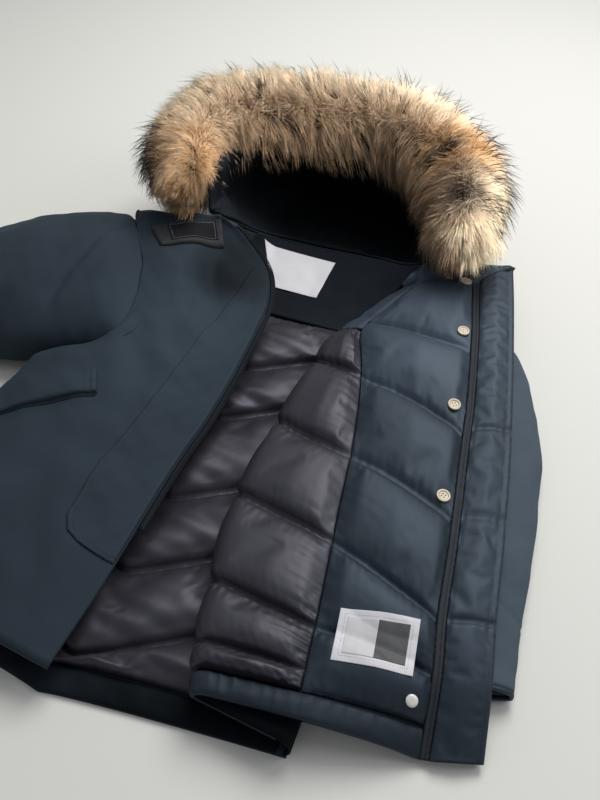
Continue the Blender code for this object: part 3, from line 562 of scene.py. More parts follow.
# %% Cloth materials
def cloth_finish(name, colour, deep, rough, shine, pitch, weave, wrinkle, wrinkle_size, tint=(1, 1, 1)):
    """Cloth between two tones, with threads pitch millimetres apart and wrinkles too small to model."""
    material, tree, shader, place, on_cloth = new_finish(name)
    broad = add(tree, "TexNoise", "Fac", {"Vector": place, "Scale": 9, "Detail": 5})
    gloss = {"Value": broad, "To Min": rough - 0.06, "To Max": rough + 0.06}
    threads = []
    for turn in (math.radians(45), math.radians(-45)):
        lay = add(tree, "Mapping", "Vector", {"Vector": on_cloth, "Rotation": (0, 0, turn)})
        wave = {"Vector": lay, "Scale": 1000 / pitch / 6.283, "Distortion": 0.6, "Detail": 1}
        threads.append(add(tree, "TexWave", "Fac", wave))
    weft = add(tree, "Math", "Value", dict(enumerate(threads)), operation="MAXIMUM")
    folds = {"Vector": place, "Scale": wrinkle_size, "Detail": 6, "Roughness": 0.55, "Distortion": 0.7}
    crumple = add(tree, "TexNoise", "Fac", folds)
    low = add(tree, "Bump", "Normal", {"Strength": wrinkle, "Distance": 0.004, "Height": crumple})
    fine = {"Strength": weave, "Distance": 0.0003, "Height": weft, "Normal": low}
    feed(tree, shader, {
        "Base Color": two_tones(tree, broad, deep, colour, 0.32, 0.68),
        "Roughness": add(tree, "MapRange", "Result", gloss),
        "Specular IOR Level": shine,
        "Specular Tint": (*tint, 1),
        "Normal": add(tree, "Bump", "Normal", fine),
    })
    return material


def paint_light_pool(material, centre, near, far, tone):
    """Painted light and shade: scales a finish's colour by tone within near metres of centre, and leaves it
    past far metres.
    """
    tree = material.node_tree
    shader = tree.nodes["Principled BSDF"]
    colour = shader.inputs["Base Color"].links[0].from_socket
    place = tree.nodes.new("ShaderNodeTexCoord").outputs["Object"]
    apart = add(tree, "VectorMath", "Vector", {0: place, 1: centre}, operation="SUBTRACT")
    size = add(tree, "VectorMath", "Value", {0: apart}, operation="LENGTH")
    fade = {"Value": size, "From Min": near, "From Max": far, "To Min": tone, "To Max": 1.0}
    light = add(tree, "MapRange", "Result", fade, interpolation_type="SMOOTHSTEP")
    shade = add(tree, "VectorMath", "Vector", {0: colour, "Scale": light}, operation="SCALE")
    feed(tree, shader, {"Base Color": shade})


BLUISH, VIOLET = (0.62, 0.80, 1.0), (0.84, 0.84, 1.0)
OUTER = cloth_finish(
    "outer_navy", (0.0180, 0.0265, 0.0350), (0.0145, 0.0215, 0.0290), 0.80, 0.30, 0.8, 0.25, 0.16, 26, BLUISH
)
# The sleeve finish is the outer cloth made lighter: painted light for the left sleeve, which faces the light
# from the side.
SLEEVE_PAINTED_LIGHT = cloth_finish(
    "sleeve_navy_painted_light", (0.0560, 0.0740, 0.0930), (0.0460, 0.0620, 0.0790), 0.80, 0.30, 0.8, 0.25, 0.16, 26, BLUISH
)
SATIN = cloth_finish(
    "facing_navy", (0.0112, 0.0162, 0.0235), (0.0088, 0.0130, 0.0190), 0.55, 0.50, 0.5, 0.1, 0.06, 22, BLUISH
)
# The hem finish is the facing satin darkened: painted shade for the left front's turned-up hem, which faces
# away from the key light.
HEM_PAINTED_SHADE = cloth_finish(
    "hem_navy_painted_shade", (0.0105, 0.0140, 0.0200), (0.0075, 0.0105, 0.0150), 0.62, 0.35, 0.5, 0.1, 0.12, 26, BLUISH
)
# facing_shaded is the facing satin darkened: painted shade for the back's hem and the neck facing, which lie
# in shadow under the fold and the fur; the right zip tape wears it too.
SHADED = cloth_finish(
    "facing_shaded", (0.0060, 0.0078, 0.0108), (0.0045, 0.0058, 0.0085), 0.75, 0.16, 0.5, 0.1, 0.15, 26, BLUISH
)
BLACK = cloth_finish(
    "lining_black", (0.0205, 0.0202, 0.0270), (0.0155, 0.0152, 0.0205), 0.47, 0.50, 0.4, 0.05, 0.05, 22, VIOLET
)
PILE = cloth_finish(
    "hood_pile", (0.0110, 0.0130, 0.0165), (0.0080, 0.0095, 0.0120), 0.9, 0.15, 1.2, 0.5, 0.3, 60, BLUISH
)
WEBBING = cloth_finish(
    "tab_webbing", (0.0170, 0.0185, 0.0215), (0.0130, 0.0142, 0.0168), 0.7, 0.3, 1.2, 0.5, 0.1, 60
)
# Painted light and shade: the middle of the right front is painted lighter; the hollow below the throat tab,
# the inside of the hood, the back's hem under the fold of the left front and the neck facing are painted
# shade; the upper part of the left front's facing is painted lighter.
PAINTED_LIGHT_POOLS = (
    (OUTER, (-0.10, 0.06, 0.09), 0.02, 0.16, 1.4),
    (OUTER, (-0.060, 0.226, 0.08), 0.018, 0.090, 0.10),
    (PILE, (0.03, 0.50, 0.05), 0.11, 0.17, 0.12),
    (SHADED, (0.17, -0.37, 0.02), 0.09, 0.17, 0.12),
    (SHADED, (-0.01, 0.33, 0.08), 0.05, 0.16, 0.45),
    (SATIN, (0.205, 0.215, 0.07), 0.05, 0.18, 2.5),
)
for pool in PAINTED_LIGHT_POOLS:
    paint_light_pool(*pool)
print("materials:", [m.name for m in (OUTER, SATIN, BLACK, PILE)])


# %% Small materials
def plain_finish(name, colour, rough, grain=0.0005, size=900, coat=0.0, shine=0.5):
    """A smooth finish with a fine grain of this size, as on resin, thread and metal."""
    material, tree, shader, place, _ = new_finish(name)
    grainy = add(tree, "TexNoise", "Fac", {"Vector": place, "Scale": size})
    deep, full = [c * 0.82 for c in colour], [min(1, c * 1.1) for c in colour]
    feed(tree, shader, {
        "Base Color": two_tones(tree, grainy, deep, full),
        "Roughness": rough,
        "Coat Weight": coat,
        "Specular IOR Level": shine,
        "Normal": add(tree, "Bump", "Normal", {"Distance": grain, "Strength": 0.3, "Height": grainy}),
    })
    return material


IVORY = plain_finish("button_ivory", (0.46, 0.39, 0.27), 0.35, 0.0002, 220, 0.2)
THREAD = plain_finish("thread_navy", (0.055, 0.066, 0.080), 0.6)
TEETH = plain_finish("zip_black", (0.008, 0.008, 0.009), 0.6, shine=0.12)
WHITE = plain_finish("label_white", (0.54, 0.54, 0.57), 0.5)
GREY = plain_finish("label_grey", (0.48, 0.48, 0.50), 0.6)
DARK_GREY = plain_finish("label_dark", (0.05, 0.052, 0.056), 0.6)
TAB_BLACK = plain_finish("label_black", (0.008, 0.008, 0.010), 0.85, shine=0.15)
print("small materials:", [m.name for m in (IVORY, THREAD, TEETH, WHITE, GREY, DARK_GREY, TAB_BLACK)])


# %% [markdown]
# ## Stitches
# A seam shows as a row of short threads that sink into the cloth at both ends. One thread is a thin bar
# with four sides, and a row of them is one mesh, copied along a line on the panel.

# %% Rows of stitches
def part_way(rows, run, at):
    """Points or directions part of the way along a line, at these distances."""
    return np.stack([np.interp(at, run, rows[:, k]) for k in range(3)], -1)


def stitches(name, line, out, material, slot, pitch, length, radius, lift):
    """Threads along a line of points in millimetres; out is the way the cloth faces at each point."""
    points, quads = [], []
    run = run_of(line)
    for at in np.arange(pitch / 2, run[-1] - pitch / 2, pitch):
        ends = [part_way(line, run, at + d) for d in (-length / 2, length / 2)]
        up = part_way(out, run, at)
        along = unit(ends[1] - ends[0])
        side = unit(np.cross(along, up))
        base = len(points)
        middle = (ends[0] + ends[1]) / 2 + up * lift
        for centre, size in ((ends[0] - up * 0.3, 0.6), (middle, 1.0), (ends[1] - up * 0.3, 0.6)):
            for a, b in ((1, 0), (0, 1), (-1, 0), (0, -1)):
                points.append(centre + side * radius * a * size + up * radius * b * size)
        for ring in (base, base + 4):
            for k in range(4):
                m = (k + 1) % 4
                quads.append((ring + k, ring + m, ring + m + 4, ring + k + 4))
        quads.append((base + 3, base + 2, base + 1, base))
        quads.append((base + 8, base + 9, base + 10, base + 11))
    piece = mesh_from(name, np.array(points), np.array(quads))
    print(name, len(quads) // 10, "stitches")
    return dress(piece, material)


# %% [markdown]
# ## Filling
# A quilted panel is a sheet that is sewn down along lines and swells between them. The sheet has more
# cloth than the line it is sewn to, so it gathers into small folds at each seam. That is what a cloth
# simulation does well: the sewn points are pinned, the cloth is given a little extra length, and a light
# pressure from behind lifts it. The result is kept as plain points, and no simulation stays on a piece.

# %% Quilting by simulation
STIFF = 6.0
FRAMES = 20
FILLING = {
    "quality": 6,
    "mass": 0.12,
    "tension_stiffness": STIFF,
    "compression_stiffness": STIFF * 0.6,
    "shear_stiffness": STIFF * 0.4,
    "air_damping": 2,
    "tension_damping": 8,
    "compression_damping": 8,
    "use_pressure": True,
    "vertex_group_mass": "sewn",
    "pin_stiffness": 5,
}


def inflate(name, grid, sewn, pressure, slack, cap, bend):
    """The grid swollen between its sewn points. sewn is how firmly each point is held, from 0 to 1; slack
    is the share of extra cloth, and cap is about the most that a point may rise."""
    sheet = mesh_from(name + "_sheet", grid.reshape(-1, 3), squares(np.arange(sewn.size).reshape(sewn.shape)))
    out = outward(grid, 0.5, 0.8)
    if (out * normals(grid)).sum() < 0:
        sheet.data.flip_normals()
    pins = sheet.vertex_groups.new(name="sewn")
    for weight in np.unique(sewn):
        if weight > 0:
            pins.add([int(i) for i in np.flatnonzero(sewn.ravel() == weight)], float(weight), "REPLACE")
    modifier = sheet.modifiers.new("filling", "CLOTH")
    cloth = modifier.settings
    for setting, value in FILLING.items():
        setattr(cloth, setting, value)
    cloth.bending_stiffness = bend
    cloth.uniform_pressure_force = pressure
    cloth.shrink_min = -slack
    cloth.shrink_max = -slack
    cloth.effector_weights.gravity = 0
    modifier.collision_settings.use_collision = False
    modifier.point_cache.frame_start = 1
    modifier.point_cache.frame_end = FRAMES
    for step in range(1, FRAMES + 1):
        bpy.context.scene.frame_set(step)
    graph = bpy.context.evaluated_depsgraph_get()
    mesh = sheet.evaluated_get(graph).data
    found = np.empty(len(mesh.vertices) * 3, np.float32)
    mesh.vertices.foreach_get("co", found)
    found = found.reshape(grid.shape).astype(float) / MM
    bpy.data.objects.remove(sheet, do_unlink=True)
    bpy.context.scene.frame_set(1)
    move = found - grid
    rise = (move * out).sum(-1)
    print(name, "rises", round(float(rise.max()), 1), "mm, falls", round(float(rise.min()), 1), "mm")
    aside = move - rise[..., None] * out
    size = np.linalg.norm(aside, axis=-1, keepdims=True)
    most_aside, most_fall = 6.0, -1.5
    aside *= np.minimum(1, most_aside / np.maximum(size, 1e-6))
    rise = np.where(rise > 0, cap * np.tanh(rise / cap), np.maximum(rise, most_fall))
    return grid + out * rise[..., None] + aside


def finer(grid):
    """The grid with one point added between each two of its own, on smooth curves."""
    for axis in (0, 1):
        keys = np.arange(float(grid.shape[axis]))
        at = np.linspace(0, keys[-1], int(keys[-1]) * 2 + 1)
        moved = np.moveaxis(grid, axis, -1)
        i = np.clip(at.astype(int), 0, len(keys) - 2)
        w = at - i
        slope = np.gradient(moved, axis=-1)
        near, far = moved[..., i], moved[..., i + 1]
        a, b = slope[..., i], slope[..., i + 1]
        h = w * (1 - w)
        moved = mix(near, far, w) + h * ((a - (far - near)) * (1 - w) + ((far - near) - b) * w)
        grid = np.moveaxis(moved, -1, axis)
    return grid


# %% [markdown]
# ## The back and its lining
# The back lies flat on the floor, and its lining shows between the two fronts. Each quilted band of the
# lining rises from the centre to both sides, like a row of arrows, so the lines of stitching do too.

# %% The back
shape = back_surface(70, 60)
shape[..., 2] += 0.6 + 0.5 * waves(shape[..., :2], 90, 3)
shape[..., 2] = np.maximum(shape[..., 2], 1.7)
under = shape.copy()
under[..., 2] = 0
back = slab("back_cloth", shape, under, OUTER, ["back"])


# %% The back's lining
def quilt_grid(places, lines, steps):
    """Rows of points over flat bands between lines of stitching, and how far each row is from a stitch."""
    rows, sewn = [], []
    for band in range(len(lines) - 1):
        for k in range(steps):
            x, y = (mix(stitched[band], stitched[band + 1], k / steps) for stitched in (places, lines))
            rows.append(np.stack([x, y], -1))
            sewn.append(k == 0)
    rows.append(np.stack([places[-1], lines[-1]], -1))
    sewn.append(True)
    return np.array(rows), np.array(sewn)


def quilt_grooves(grid, inside_band, depth, width):
    """How far a quilted panel, its rows doubled, sinks beside its quilting lines, with short puckers."""
    sunk, near = np.zeros(grid.shape[:2]), np.zeros(grid.shape[:2])
    for row in np.flatnonzero(np.array(inside_band) == 0) * 2:
        far = np.linalg.norm(grid - grid[row], axis=-1)
        sunk = np.maximum(sunk, np.exp(-((far / width) ** 1.1)))
        near = np.maximum(near, np.exp(-((far / 13) ** 1.4)))
    across = np.cumsum(np.linalg.norm(np.diff(grid, axis=1, prepend=grid[:, :1]), axis=-1), axis=1)
    down = np.arange(len(grid))[:, None] * 1.0 + 0 * across
    return depth * sunk + 0.9 * near * (1 - sunk) * waves(np.stack([across, down], -1), 13, 52, 5)


def pillow(at, lean=0.72, full=0.5):
    """Height of a band from one stitch (0) to the next (1); a lean under 1 puts its crest near the hem."""
    return np.maximum(np.sin(math.pi * np.clip(at, 0, 1) ** lean), 0) ** full


BAND_STEPS = 15
places, lines = back_lining_lines(52)
flat, sewn_rows = quilt_grid(places, lines, BAND_STEPS)
band_at = np.arange(len(flat)) % BAND_STEPS / BAND_STEPS
base = np.concatenate([flat, np.full((*flat.shape[:2], 1), 7.4)], -1)
base[..., 2] = 4.8 + pillow(band_at)[:, None] * (14 + 1.5 * waves(flat * [1, 2.2], 70, 8))
sewn = np.zeros(base.shape[:2])
sewn[sewn_rows] = 1
sewn[:, [0, -1]] = 1
puffed = inflate("back_lining", base, sewn, pressure=1.3, slack=0.012, cap=4, bend=0.8)
puffed = finer(puffed)
puffed = puffed - outward(puffed, 0.5, 0.5) * quilt_grooves(puffed, band_at, 2.4, 3.6)[..., None]
below = puffed.copy()
below[..., 2] = 2.2
back_lining = slab("back_lining_cloth", puffed, below, BLACK, ["back_lining"])


# %% The back's hem and neck
def gathered_band(x, y, pitch, seed, depth):
    """Small puckers across a hem, of uneven pitch."""
    return depth * waves(np.stack([x, y * 0.25], -1), pitch, seed, 5)


x = np.linspace(-125, 240, 200)[None, :]
w = np.linspace(0, 1, 16)[:, None]
height = 8.0 - 2.5 * np.abs(2 * w - 1) ** 3 + 0 * x
height += gathered_band(x + 0 * w, 60 * w + 0 * x, 26, 5, 0.7) * np.sin(math.pi * w) ** 0.5
hem = np.stack([x + 0 * w, hem_y(x) + 0.8 + 28.8 * w, height], -1)
low = hem.copy()
low[..., 2] = 1.95
back_hem = slab("back_hem_cloth", hem, low, SHADED, ["back_hem_facing"])

u = np.linspace(0, 1, 70)[None, :]
v = np.linspace(0, 1, 46)[:, None]
neck = neck_surface(u, v)
soft = creases(neck[..., 0], neck[..., 1], (
    (-100, 262, 40, 250, 9, -2.0),
    (30, 256, 120, 300, 10, -2.2),
    (90, 262, 165, 350, 8, -2.6),
    (60, 330, 150, 372, 9, 1.8),
), 4) + 0.7 * waves(neck[..., :2], 45, 6)
neck = neck + normals(neck) * (soft * np.sin(math.pi * np.clip(v, 0.02, 0.98)))[..., None]
low = neck.copy()
low[..., 2] = np.maximum(neck[..., 2] - 6, 2.0)
neck_facing = slab("neck_facing_cloth", neck, low, SHADED, ["back_neck_facing"])


# %% [markdown]
# ## The hood
# The hood stands open over the floor. Its shell and its soft, dark lining are two skins on either side of
# one seam, and both sag into slow folds between the neck and the fur.

# %% Hood shell and lining
u = np.linspace(0.012, 0.988, 120)[None, :]
v = np.linspace(0.012, 1, 60)[:, None]
seam = hood_surface(u, v)
inside = outward(seam)
sag = 2.4 * waves(np.stack([u * 620 + 0 * v, v * 210 + 0 * u], -1), 110, 11) * np.sin(math.pi * v) ** 0.7
seam = seam + inside * sag[..., None]
seam[..., 0] -= 15 * np.clip(1 - u / 0.1, 0, 1) * np.clip(v * 2.2, 0, 1)
seam[..., 2] = np.maximum(seam[..., 2], 2.4)
middle = roll_frame(u[0])[0]
into_the_roll = [mix(seam[-1], middle, w) for w in (0.07, 0.14, 0.21, 0.28)]
seam = np.concatenate([seam, np.array(into_the_roll)])
inside = outward(seam)
hood = slab("hood_cloth", seam - inside * 0.3, seam - inside * 2.1, OUTER, ["hood"])
folds = 1.6 * waves(np.stack([u * 620 + 0 * v, v * 210 + 0 * u], -1), 42, 12) * np.sin(math.pi * v)
folds = np.concatenate([folds, np.zeros((len(into_the_roll), folds.shape[1]))])
soft_side = seam + inside * (4.6 + folds)[..., None]
hood_lining = slab("hood_lining_cloth", soft_side, seam + inside * 0.3, PILE, ["hood_lining"])


# %% [markdown]
# ## The right front
# This is the largest piece of outer cloth. It lies over the back, filled softly by its own lining, and
# runs down to the floor at the side. Long shallow folds cross it from the armhole and the pocket, and a
# second layer is stitched down along its free edge to cover the zip.

# %% Right front
RIGHT_FOLDS = (
    (-190, 150, -60, 215, 16, 3.2),
    (-175, 110, -40, 60, 18, -2.8),
    (-165, 60, -90, -60, 17, 2.6),
    (-120, 240, -20, 160, 14, -2.6),
    (-108, 292, -40, 118, 17, -8.0),
    (-44, 246, -6, 150, 9, 2.4),
    (-150, 262, -92, 196, 24, 3.6),
    (-138, 226, -108, 120, 12, 3.4),
    (-196, 40, -120, 150, 26, 2.6),
    (-240, -140, -112, -66, 8, -3.4),
    (-230, -30, -120, -90, 20, 2.4),
    (-240, -150, -90, -200, 26, -3.0),
    (-200, -250, -60, -170, 22, 2.6),
    (-150, -340, -110, -180, 24, -2.8),
    (-50, -330, -20, -180, 18, 2.2),
    (-100, 30, -60, -60, 16, -1.8),
    (-210, 230, -130, 180, 12, 2.2),
    (-100, 175, -70, 90, 12, -2.0),
)
s = np.concatenate([np.linspace(0, 1, 90), np.linspace(1, 2, 20)[1:]])[None, :]
q = np.linspace(0, 12, 150)[:, None]
front = right_surface(s, q)
out = outward(front, 0.3, 0.4)
away = np.clip(np.minimum(s * 12, 1) * (1 - 0.7 * np.clip(s - 1, 0, 1)), 0, 1)
away = away * np.clip((q + 0.12) * 4, 0, 1)
lift = creases(front[..., 0], front[..., 1], RIGHT_FOLDS, 2)
lift = 1.5 * lift + 1.4 * waves(front[..., :2], 80, 21) + 0.5 * waves(front[..., :2], 34, 22)
front = front + out * (lift * away)[..., None]
out = outward(front, 0.3, 0.4)
inner = front - out * 1.8
right_front = slab("right_front_cloth", front, inner, OUTER, ["right_front"])
thick = np.full(front.shape[:2], 10.0)
thick *= np.clip(0.45 + s * 8, 0.45, 1) * np.clip(0.45 + q * 2, 0.45, 1)
thick = np.where((q > 8.8) & (s > 0.8), 4.0, thick)
ARMHOLE_FOOT, ARMHOLE_S = 3.4, 0.87
held_in = np.where(q > ARMHOLE_FOOT, np.minimum(s, ARMHOLE_S + 0.01 * np.clip(s - 1, 0, 1)), s)
out = outward(right_surface(s, q), 0.3, 0.4)
last = int(np.searchsorted(s[0], ARMHOLE_S)) - 1
for row in np.flatnonzero(q[:, 0] > ARMHOLE_FOOT):
    out[row, last:] = out[row, last]
    thick[row, last:] = thick[row, last]
under = right_surface(held_in, q) + out * (lift * away)[..., None]
inside_out = under - out * (2.6 + thick)[..., None]
inside_out[..., 2] = np.maximum(inside_out[..., 2], 2.0)
under, inside_out = (under - out * 2.5)[::2, ::2], inside_out[::2, ::2]
right_padding = slab("right_front_padding", under, inside_out, BLACK, ["right_front_lining"])


# %% [markdown]
# ## Flat pieces on the right front
# A fly, a pocket welt, a tab and a label are all flat pieces sewn on top of another one. Each is laid
# down by dropping its points straight onto the cloth below, so it follows every fold there, and its
# height falls away near its edge, where the cloth is turned under and stitched.

# %% Laying one piece on another
def top_of(piece):
    points = [vertex.co / MM for vertex in piece.data.vertices]
    return BVHTree.FromPolygons(points, [tuple(face.vertices) for face in piece.data.polygons])


def drape(tree, places):
    """Points on the top of a piece, straight under rows of x and y."""
    found = np.empty((*places.shape[:2], 3))
    for index in np.ndindex(places.shape[:2]):
        x, y = places[index]
        hit = tree.ray_cast(Vector((x, y, 400)), Vector((0, 0, -1)))[0]
        hit = hit or tree.find_nearest(Vector((x, y, 60)))[0]
        found[index] = (x, y, hit.z)
    return found


def spread(corners, rows, columns):
    """Rows of x and y that fill four corners, closer together near the edges."""
    a, b, c, d = (np.array(corner, float) for corner in corners)
    turns = [np.pi * np.linspace(0, 1, count) for count in (rows, columns)]
    r, s = (0.5 - 0.5 * np.cos(turn) * (1 - 0.25 * np.sin(turn)) for turn in turns)
    r, s = r[:, None, None], s[None, :, None]
    return mix(mix(a, b, s), mix(d, c, s), r)


def edge_distance(places):
    """Distance of each point of a four-sided grid from the nearest edge of it."""
    edges = np.concatenate([places[0], places[-1], places[:, 0], places[:, -1]])
    flat = places.reshape(-1, 1, 2)
    far = np.linalg.norm(flat - edges[None], axis=-1).min(axis=1)
    return far.reshape(places.shape[:2])


def turned_edge(away, height, round_over, stitch, depth):
    """Height of a sewn-down layer: rounded at its turned edge, with a groove where it is stitched."""
    away = np.maximum(away, 0)
    lift = height * (1 - np.exp(-((away / round_over) ** 1.3)))
    return lift - depth * np.exp(-(((away - stitch) / 0.9) ** 2))


# %% The fly
FLY = table(
    "y left",
    (-250, -4), (-246, -36), (-238, -54), (-221, -65), (-145, -67), (-101, -60), (-23, -54), (56, -47),
    (156, -42), (262, -40),
)
FRONT_TOP = top_of(right_front)
levels = np.concatenate([np.linspace(-250, -222, 24)[:-1], np.linspace(-222, 250, 130)])
edge_q = np.linspace(0, 8, 200)
right = np.interp(levels, read(RIGHT, "ey", edge_q), read(RIGHT, "ex", edge_q)) - 1.6
left = np.interp(levels, FLY["y"], FLY["left"])
turned, flat = (0.0, 0.16), (0.16, 0.86)
across = [np.linspace(*turned, 10)[:-1], np.linspace(*flat, 12), np.linspace(flat[1], 1, 10)[1:]]
across = np.concatenate(across)
places = np.stack([mix(left[:, None], right[:, None], across), levels[:, None] + 0 * across], -1)
foot = np.stack([mix(left[0], right[0], across), levels[0] + 0 * across], -1)
outline = np.concatenate([np.stack([left, levels], -1), foot])
away = np.linalg.norm(places[:, :, None] - outline[None, None], axis=-1).min(axis=-1)
near_edge = right[:, None] - places[..., 0]
rise = turned_edge(away, 1.5, 1.6, 4.5, 0.7) + turned_edge(near_edge, 1.0, 1.2, 4.0, 0.6)
rise += 0.5 * waves(places, 26, 31) * np.clip(away / 12, 0, 1) * np.clip(near_edge / 12, 0, 1)
rise += 0.35 * waves(places, 7, 32) * np.exp(-(((away - 4.5) / 4) ** 2))
fly_ground = drape(FRONT_TOP, places)
fly_top = raised(fly_ground, rise + 0.6)
fly = slab("right_fly_cloth", fly_top, fly_ground + [0, 0, 0.25], OUTER, ["right_fly"])

# %% The welt of the hand pocket
WELT = ((-252, -90), (-141, -23), (-121, -57), (-232, -124))
places = spread(WELT, 30, 90)
ground = drape(FRONT_TOP, places)
away = edge_distance(places)
rise = turned_edge(away, 5.0, 1.0, 2.8, 0.7)
END_STITCH, SECOND_STITCH = 2.6, 9.5
end = np.linalg.norm(places - places[:, -1:], axis=-1)
rise -= 0.8 * np.exp(-(((end - SECOND_STITCH) / 0.9) ** 2)) * (away > 2)
rise += 0.25 * waves(places, 22, 33) * np.clip(away / 6, 0, 1)
welt_top = raised(ground, rise + 0.5)
welt = slab("pocket_welt_cloth", welt_top, ground + [0, 0, 0.3], OUTER, ["pocket_welt"])

# A thin dark strip under the welt's lower edge is the pocket's opening with painted shadow: the shade under
# the welt, laid as a sheet of the dark hood pile.
MOUTH_SHADOW = ((-240, -132), (-121, -64), (-120, -58), (-233, -124.5))
places = spread(MOUTH_SHADOW, 8, 60)
ground = drape(FRONT_TOP, places)
mouth_shadow_top = ground + np.array([0, 0, 0.7])
mouth = slab("pocket_mouth_shadow_cloth", mouth_shadow_top, ground + [0, 0, 0.2], PILE)

# %% The throat tab and its bare label
TAB = ((-206, 248), (-113, 301), (-93, 265), (-171, 214))
TAB_LABEL = ((-182, 257), (-119, 293), (-104, 268), (-160, 229))
places = spread(TAB, 30, 70)
ground = drape(FRONT_TOP, places)
rise = turned_edge(edge_distance(places), 4.6, 1.3, 2.8, 0.7) + 0.3 * waves(places, 30, 34)
tab_top = raised(ground, rise + 1.0)
tab = slab("throat_tab_cloth", tab_top, ground + [0, 0, 0.4], WEBBING, ["throat_tab"])
places = spread(TAB_LABEL, 20, 40)
label_top = drape(top_of(tab), places) + [0, 0, 0.9]
low = label_top - [0, 0, 0.7]
tab_label = slab("throat_tab_label_cloth", label_top, low, TAB_BLACK, ["throat_tab_label"])


def border_of(places, inset):
    """A closed loop inside the edge of a four-sided piece, as rows of x and y."""
    corners = np.array([places[0, 0], places[0, -1], places[-1, -1], places[-1, 0]])
    middle = corners.mean(axis=0)
    pulled = []
    for corner in corners:
        way = middle - corner
        pulled.append(corner + way * inset * 1.6 / np.linalg.norm(way))
    sides = zip(pulled, pulled[1:] + pulled[:1])
    loop = [mix(a, b, w) for a, b in sides for w in np.linspace(0, 1, 24)[:-1]]
    return np.array(loop + [pulled[0]])


def thread_up(name, line, *rest):
    """Stitches along a line of points on cloth that faces up."""
    return stitches(name, line, np.tile([0.0, 0.0, 1.0], (len(line), 1)), *rest)


def thread_on(name, tree, places, *rest):
    """Stitches along a line of x and y, on the top of the piece below."""
    return thread_up(name, drape(tree, places[None])[0], *rest)


border = border_of(places, 2.2)
thread_on("throat_tab_label_border", top_of(tab_label), border, GREY, "woven_white", 2.0, 2.1, 0.22, 0.05)


# %% The zip along the right front
def bars(name, centres, along, out, side, size, material):
    """Many small blocks as one mesh: each has a centre and its own three directions."""
    half = np.array(size) / 2
    signs = np.array([(a, b, c) for a in (-1, 1) for b in (-1, 1) for c in (-1, 1)])
    axes = np.stack([along * half[0], out * half[1], side * half[2]], axis=1)
    points = centres[:, None] + np.einsum("kj,njd->nkd", signs, axes)
    faces = [(0, 1, 3, 2), (4, 6, 7, 5), (0, 4, 5, 1), (2, 3, 7, 6), (0, 2, 6, 4), (1, 5, 7, 3)]
    faces = np.array(faces)
    quads = (np.arange(len(centres))[:, None, None] * 8 + faces[None]).reshape(-1, 4)
    if np.linalg.det(axes[0]) < 0:
        quads = quads[:, ::-1]
    piece = mesh_from(name, points.reshape(-1, 3), quads)
    for face in piece.data.polygons:
        face.use_smooth = False
    return dress(piece, material)


q = np.linspace(1.36, 9.3, 260)
edge = point(RIGHT, "e", q)
out = outward(right_surface(np.array([[0, 0.04]]), q[:, None]), 0.5, 0.5)[:, 0]
away = unit(edge - point(RIGHT, "t", q))
steps = np.array([0.9, 2.5, 4.5, 6.0])
drop = np.array([0.0, -0.1, -0.5, -0.9])
tape_top = edge[:, None] + away[:, None] * steps[None, :, None] + out[:, None] * (drop[None, :, None] - 0.4)
low = tape_top - out[:, None] * 1.6
tape = slab("right_zip_tape_cloth", tape_top, low, SHADED, ["right_zip_tape"])
TOOTH, TOOTH_PITCH = (1.25, 2.2, 3.2), 2.3
run = run_of(edge)
places = np.arange(2, run[-1] - 2, TOOTH_PITCH)
line, up, way = (part_way(rows, run, places) for rows in (edge, out, away))
along = unit(np.gradient(line, axis=0))
over = np.cross(along, up)
over *= np.sign((over * way).sum(-1, keepdims=True))
bars("right_zip_teeth", line + over * 6.3 - up * 0.9, along, up, over, TOOTH, TEETH)
print("zip teeth:", len(places))

# %% Seams of the right front
fly_tree, welt_tree = top_of(fly), top_of(welt)
FOOT_ROWS = 24
fly_seam = np.stack([left + 4.5, levels], -1)[FOOT_ROWS:]
edge_seam = np.stack([right - 3.4, levels], -1)[2:]
foot_seam = np.stack([left + 3.5, levels + 3.8], -1)[:FOOT_ROWS]
welt_end = mix(np.array(WELT[1]), np.array(WELT[2]), np.linspace(0.06, 0.94, 12)[:, None])
back_way = unit(np.array(WELT[0], float) - np.array(WELT[1]))
for name, tree, line, *sizes in (
    ("fly_seam", fly_tree, fly_seam, 3.0, 2.1, 0.24, 0.05),
    ("front_edge_seam", fly_tree, edge_seam, 3.0, 2.1, 0.24, 0.05),
    ("fly_foot_seam", fly_tree, foot_seam, 3.0, 2.1, 0.26, 0.1),
    ("welt_end_seam", welt_tree, welt_end + back_way * END_STITCH, 2.6, 2.0, 0.24, 0.1),
    ("welt_second_seam", welt_tree, welt_end + back_way * SECOND_STITCH, 2.6, 2.0, 0.24, 0.1),
):
    thread_on(name, tree, line, THREAD, "shell_navy", *sizes)


# %% [markdown]
# ## The sleeves
# A sleeve is a padded tube that lies on the floor: flat below, full above. Its rings turn with the arm,
# and folds gather at the elbow and near the armhole. The mouth stays open, so the wall is turned in
# there and the lining shows inside it.

